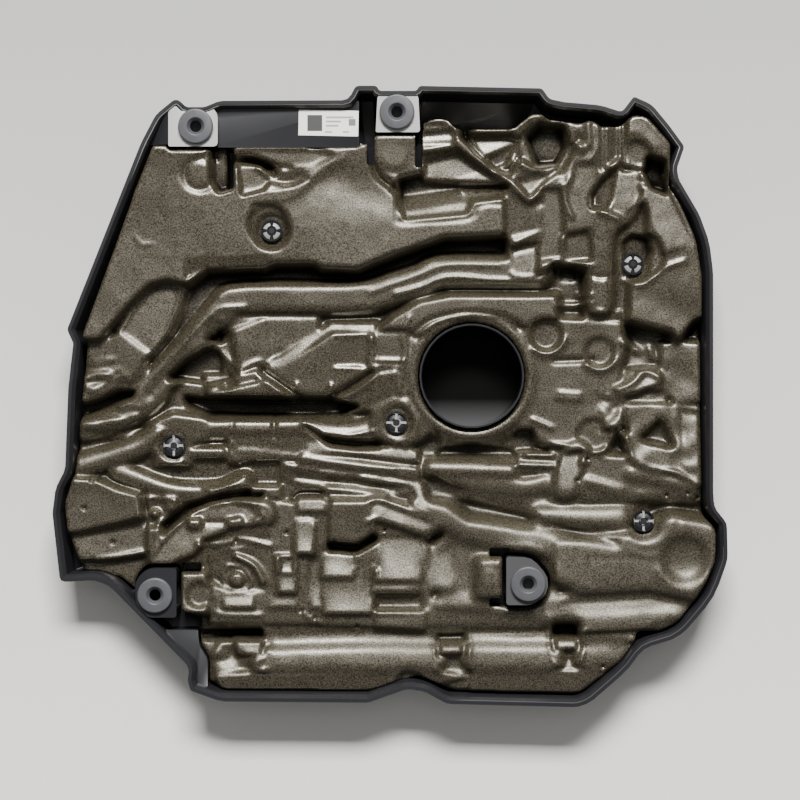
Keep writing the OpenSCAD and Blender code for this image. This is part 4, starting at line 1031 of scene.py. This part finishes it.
# Painted highlight on the rib tops of the lower retainers.
rubbed = add_node(tree, "Attribute", {"attribute_name": "rubbed"}).outputs["Fac"]
tone = add_node(tree, "MixRGB", {}, {"Color1": linear("#121214"), "Color2": linear("#9c9b99")},
                {"Fac": rubbed})
feed(shader, links={"Base Color": tone, "Roughness": gloss})
for name in clips:
    retainer = dressed(name, f"retainer_{name[-1]}", clip_bevel)
    low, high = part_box(name)
    rubbed = retainer.data.attributes.new("rubbed", "FLOAT", "POINT")
    for vertex, value in zip(retainer.data.vertices, rubbed.data):
        from_axis = vertex.co.xy - (low.xy + high.xy) / 2
        on_rib = min(map(abs, from_axis)) < rib_half and from_axis.length < rib_reach
        value.value = float(on_rib and vertex.co.z > high.z - rib_deep and low.y < rib_highlight_below)
    retainer.data.materials.append(glossy_nylon)
    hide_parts(name)
    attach(retainer, "root")

# The retainers' four spring petals are nylon too, moulded with the cup. They fill it between the
# ribs, slope away from the stud and are paler on the upper retainers.
petals_each = 4
petal_turns = np.radians(np.linspace(14, 76, 6))
petal_slope = ((3.4, 0.0), (5.2, 0.5), (7.1, 1.5))  # radius and fall in millimetres
worn_scuff_size = MM / 0.26
petal_top, petal_foot = -0.2, -3.0       # millimetres from the cup's rim
pale_from, pale_to = 62 * MM, 75 * MM    # along Y, between the lower and the upper retainers
petal_points, petal_faces = [], []
for height, slopes in ((petal_top, True), (petal_foot, False)):
    for r, drop in petal_slope:
        petal_points += [(r * math.cos(t) * MM, r * math.sin(t) * MM, (height - drop * slopes) * MM)
                         for t in petal_turns]
turns = len(petal_turns)
below = 3 * turns                        # from a point of the upper side to the one under it
for ring in range(2):
    for a in range(ring * turns, ring * turns + turns - 1):
        b, c, d = a + turns, a + turns + 1, a + 1
        petal_faces += [(a, b, c, d), (a + below, d + below, c + below, b + below)]
rim = [*range(turns), 2 * turns - 1, *range(3 * turns - 1, 2 * turns - 1, -1), turns]
petal_faces += [(a, b, b + below, a + below) for a, b in zip(rim, rim[1:] + rim[:1])]
petal = bpy.data.objects.new("petal", flat_mesh("petal", petal_points, petal_faces))

petal_nylon, tree, shader, place, axes = new_material("worn_black_nylon")
scuffs = add_node(tree, "TexNoise", {}, {"Scale": 1 / worn_scuff_size, "Detail": 3}, {"Vector": place})
gloss = add_node(tree, "MapRange", {}, {"To Min": 0.3, "To Max": 0.45}, {"Value": scuffs})
upper = add_node(tree, "MapRange", {}, {"From Min": pale_from, "From Max": pale_to}, {"Value": axes["Y"]})
tone = add_node(tree, "MixRGB", {}, {"Color1": linear("#2b2b2d"), "Color2": linear("#9a9997")},
                {"Fac": upper})
feed(shader, links={"Base Color": tone, "Roughness": gloss})

petal_ring = bpy.data.node_groups.new("petal_ring", "GeometryNodeTree")
sockets = petal_ring.interface
petals_input = sockets.new_socket("Petals", in_out="INPUT", socket_type="NodeSocketInt")
turn_input = sockets.new_socket("Turn", in_out="INPUT", socket_type="NodeSocketFloat")
sockets.new_socket("Geometry", in_out="OUTPUT", socket_type="NodeSocketGeometry")
sizes = add_node(petal_ring, "NodeGroupInput").outputs
centre = add_node(petal_ring, "GeometryNodeMeshCircle", {}, {"Radius": 0.01 * MM},
                  {"Vertices": sizes["Petals"]})
index = add_node(petal_ring, "GeometryNodeInputIndex")
turn = add_node(petal_ring, "Math", {"operation": "MULTIPLY"}, {}, {0: index, 1: sizes["Turn"]})
about_z = add_node(petal_ring, "CombineXYZ", links={"Z": turn})
source = add_node(petal_ring, "GeometryNodeObjectInfo", {}, {"Object": petal}).outputs["Geometry"]
petals = add_node(petal_ring, "GeometryNodeInstanceOnPoints",
                  links={"Points": centre, "Instance": source, "Rotation": about_z})
real = add_node(petal_ring, "GeometryNodeRealizeInstances", links={"Geometry": petals})
dyed = add_node(petal_ring, "GeometryNodeSetMaterial", {}, {"Material": petal_nylon}, {"Geometry": real})
add_node(petal_ring, "NodeGroupOutput", links={"Geometry": dyed})
grower = put_in_scene("grower", bpy.data.meshes.new("grower"))
ring = grower.modifiers.new("ring", "NODES")
ring.node_group = petal_ring
ring[petals_input.identifier] = petals_each
ring[turn_input.identifier] = 2 * math.pi / petals_each
bpy.context.view_layer.update()
four_petals = bpy.data.meshes.new_from_object(grower.evaluated_get(bpy.context.evaluated_depsgraph_get()))
bpy.data.objects.remove(grower)
bpy.data.objects.remove(petal)
for name in clips:
    low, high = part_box(name)
    mesh = four_petals.copy()
    mesh.transform(Matrix.Translation(((low.x + high.x) / 2, (low.y + high.y) / 2, high.z)))
    spring = put_in_scene(f"retainer_petals_{name[-1]}", mesh)
    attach(spring, "root")

# Ball sockets: smooth grey-black rubber, moulded in one piece with flange, funnel and bulb. They
# are pressed into the bracket plates and have a faint bloom.
socket_bevel = 0.5 * MM
bloom_size = 6.25 * MM

socket_rubber, tree, shader, place, axes = new_material("grey_black_rubber")
bloom = add_node(tree, "TexNoise", {}, {"Scale": 1 / bloom_size, "Detail": 4}, {"Vector": place})
tone = add_node(tree, "MixRGB", {}, {"Color1": linear("#454548"), "Color2": linear("#535356")},
                {"Fac": bloom})
feed(shader, {"Roughness": 0.42}, {"Base Color": tone})
for k in range(1, 5):
    socket = dressed(f"grommet_{k}", f"ball_socket_{k}", socket_bevel, 3)
    socket.data.materials.append(socket_rubber)
    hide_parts(f"grommet_{k}")
    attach(socket, "root")

# Label: off-white film stuck on the shell's ledge and printed with plain blocks. Each block has
# its middle, width, height and ink.
film_bevel = 0.08 * MM
fibre_size = 2.5 * MM
grey_ink = "#a3a19a"

label_film, tree, shader, place, axes = new_material("off_white_film")
paper = add_node(tree, "TexNoise", {}, {"Scale": 1 / fibre_size, "Detail": 2}, {"Vector": place})
tone = add_node(tree, "MixRGB", {}, {"Color1": linear("#fbf9ee"), "Color2": linear("#fefcf4")},
                {"Fac": paper})
label_low, label_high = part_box("label")
label_middle = (label_low + label_high) / 2
for x, y, wide, tall, ink in (
        (-11, 0, 12, 13, "#3d3d3c"), (9, 4.5, 22, 1.6, grey_ink), (4, 1.2, 12, 1.6, grey_ink),
        (3, -2.2, 10, 1.6, grey_ink), (19, 0.5, 5.5, 5.5, "#77756f"), (0, -7.2, 6, 1.4, grey_ink),
        (14, -7.2, 5, 1.4, grey_ink)):
    middle = label_middle + Vector((x, y, 0)) * MM
    away = add_node(tree, "VectorMath", {"operation": "SUBTRACT"}, {1: middle}, {0: place})
    away = add_node(tree, "VectorMath", {"operation": "ABSOLUTE"}, {}, {0: away})
    past = add_node(tree, "VectorMath", {"operation": "SUBTRACT"}, {1: (wide * MM / 2, tall * MM / 2, 1)},
                    {0: away})
    sides = add_node(tree, "SeparateXYZ", links={"Vector": past}).outputs
    worst = add_node(tree, "Math", {"operation": "MAXIMUM"}, {}, {0: sides["X"], 1: sides["Y"]})
    inked = add_node(tree, "Math", {"operation": "LESS_THAN"}, {1: 0}, {0: worst})
    tone = add_node(tree, "MixRGB", {}, {"Color2": linear(ink)}, {"Fac": inked, "Color1": tone})
feed(shader, {"Roughness": 0.45}, {"Base Color": tone})
film = dressed("label", "film_label", film_bevel)
film.data.materials.append(label_film)
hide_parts("label")
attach(film, "root")
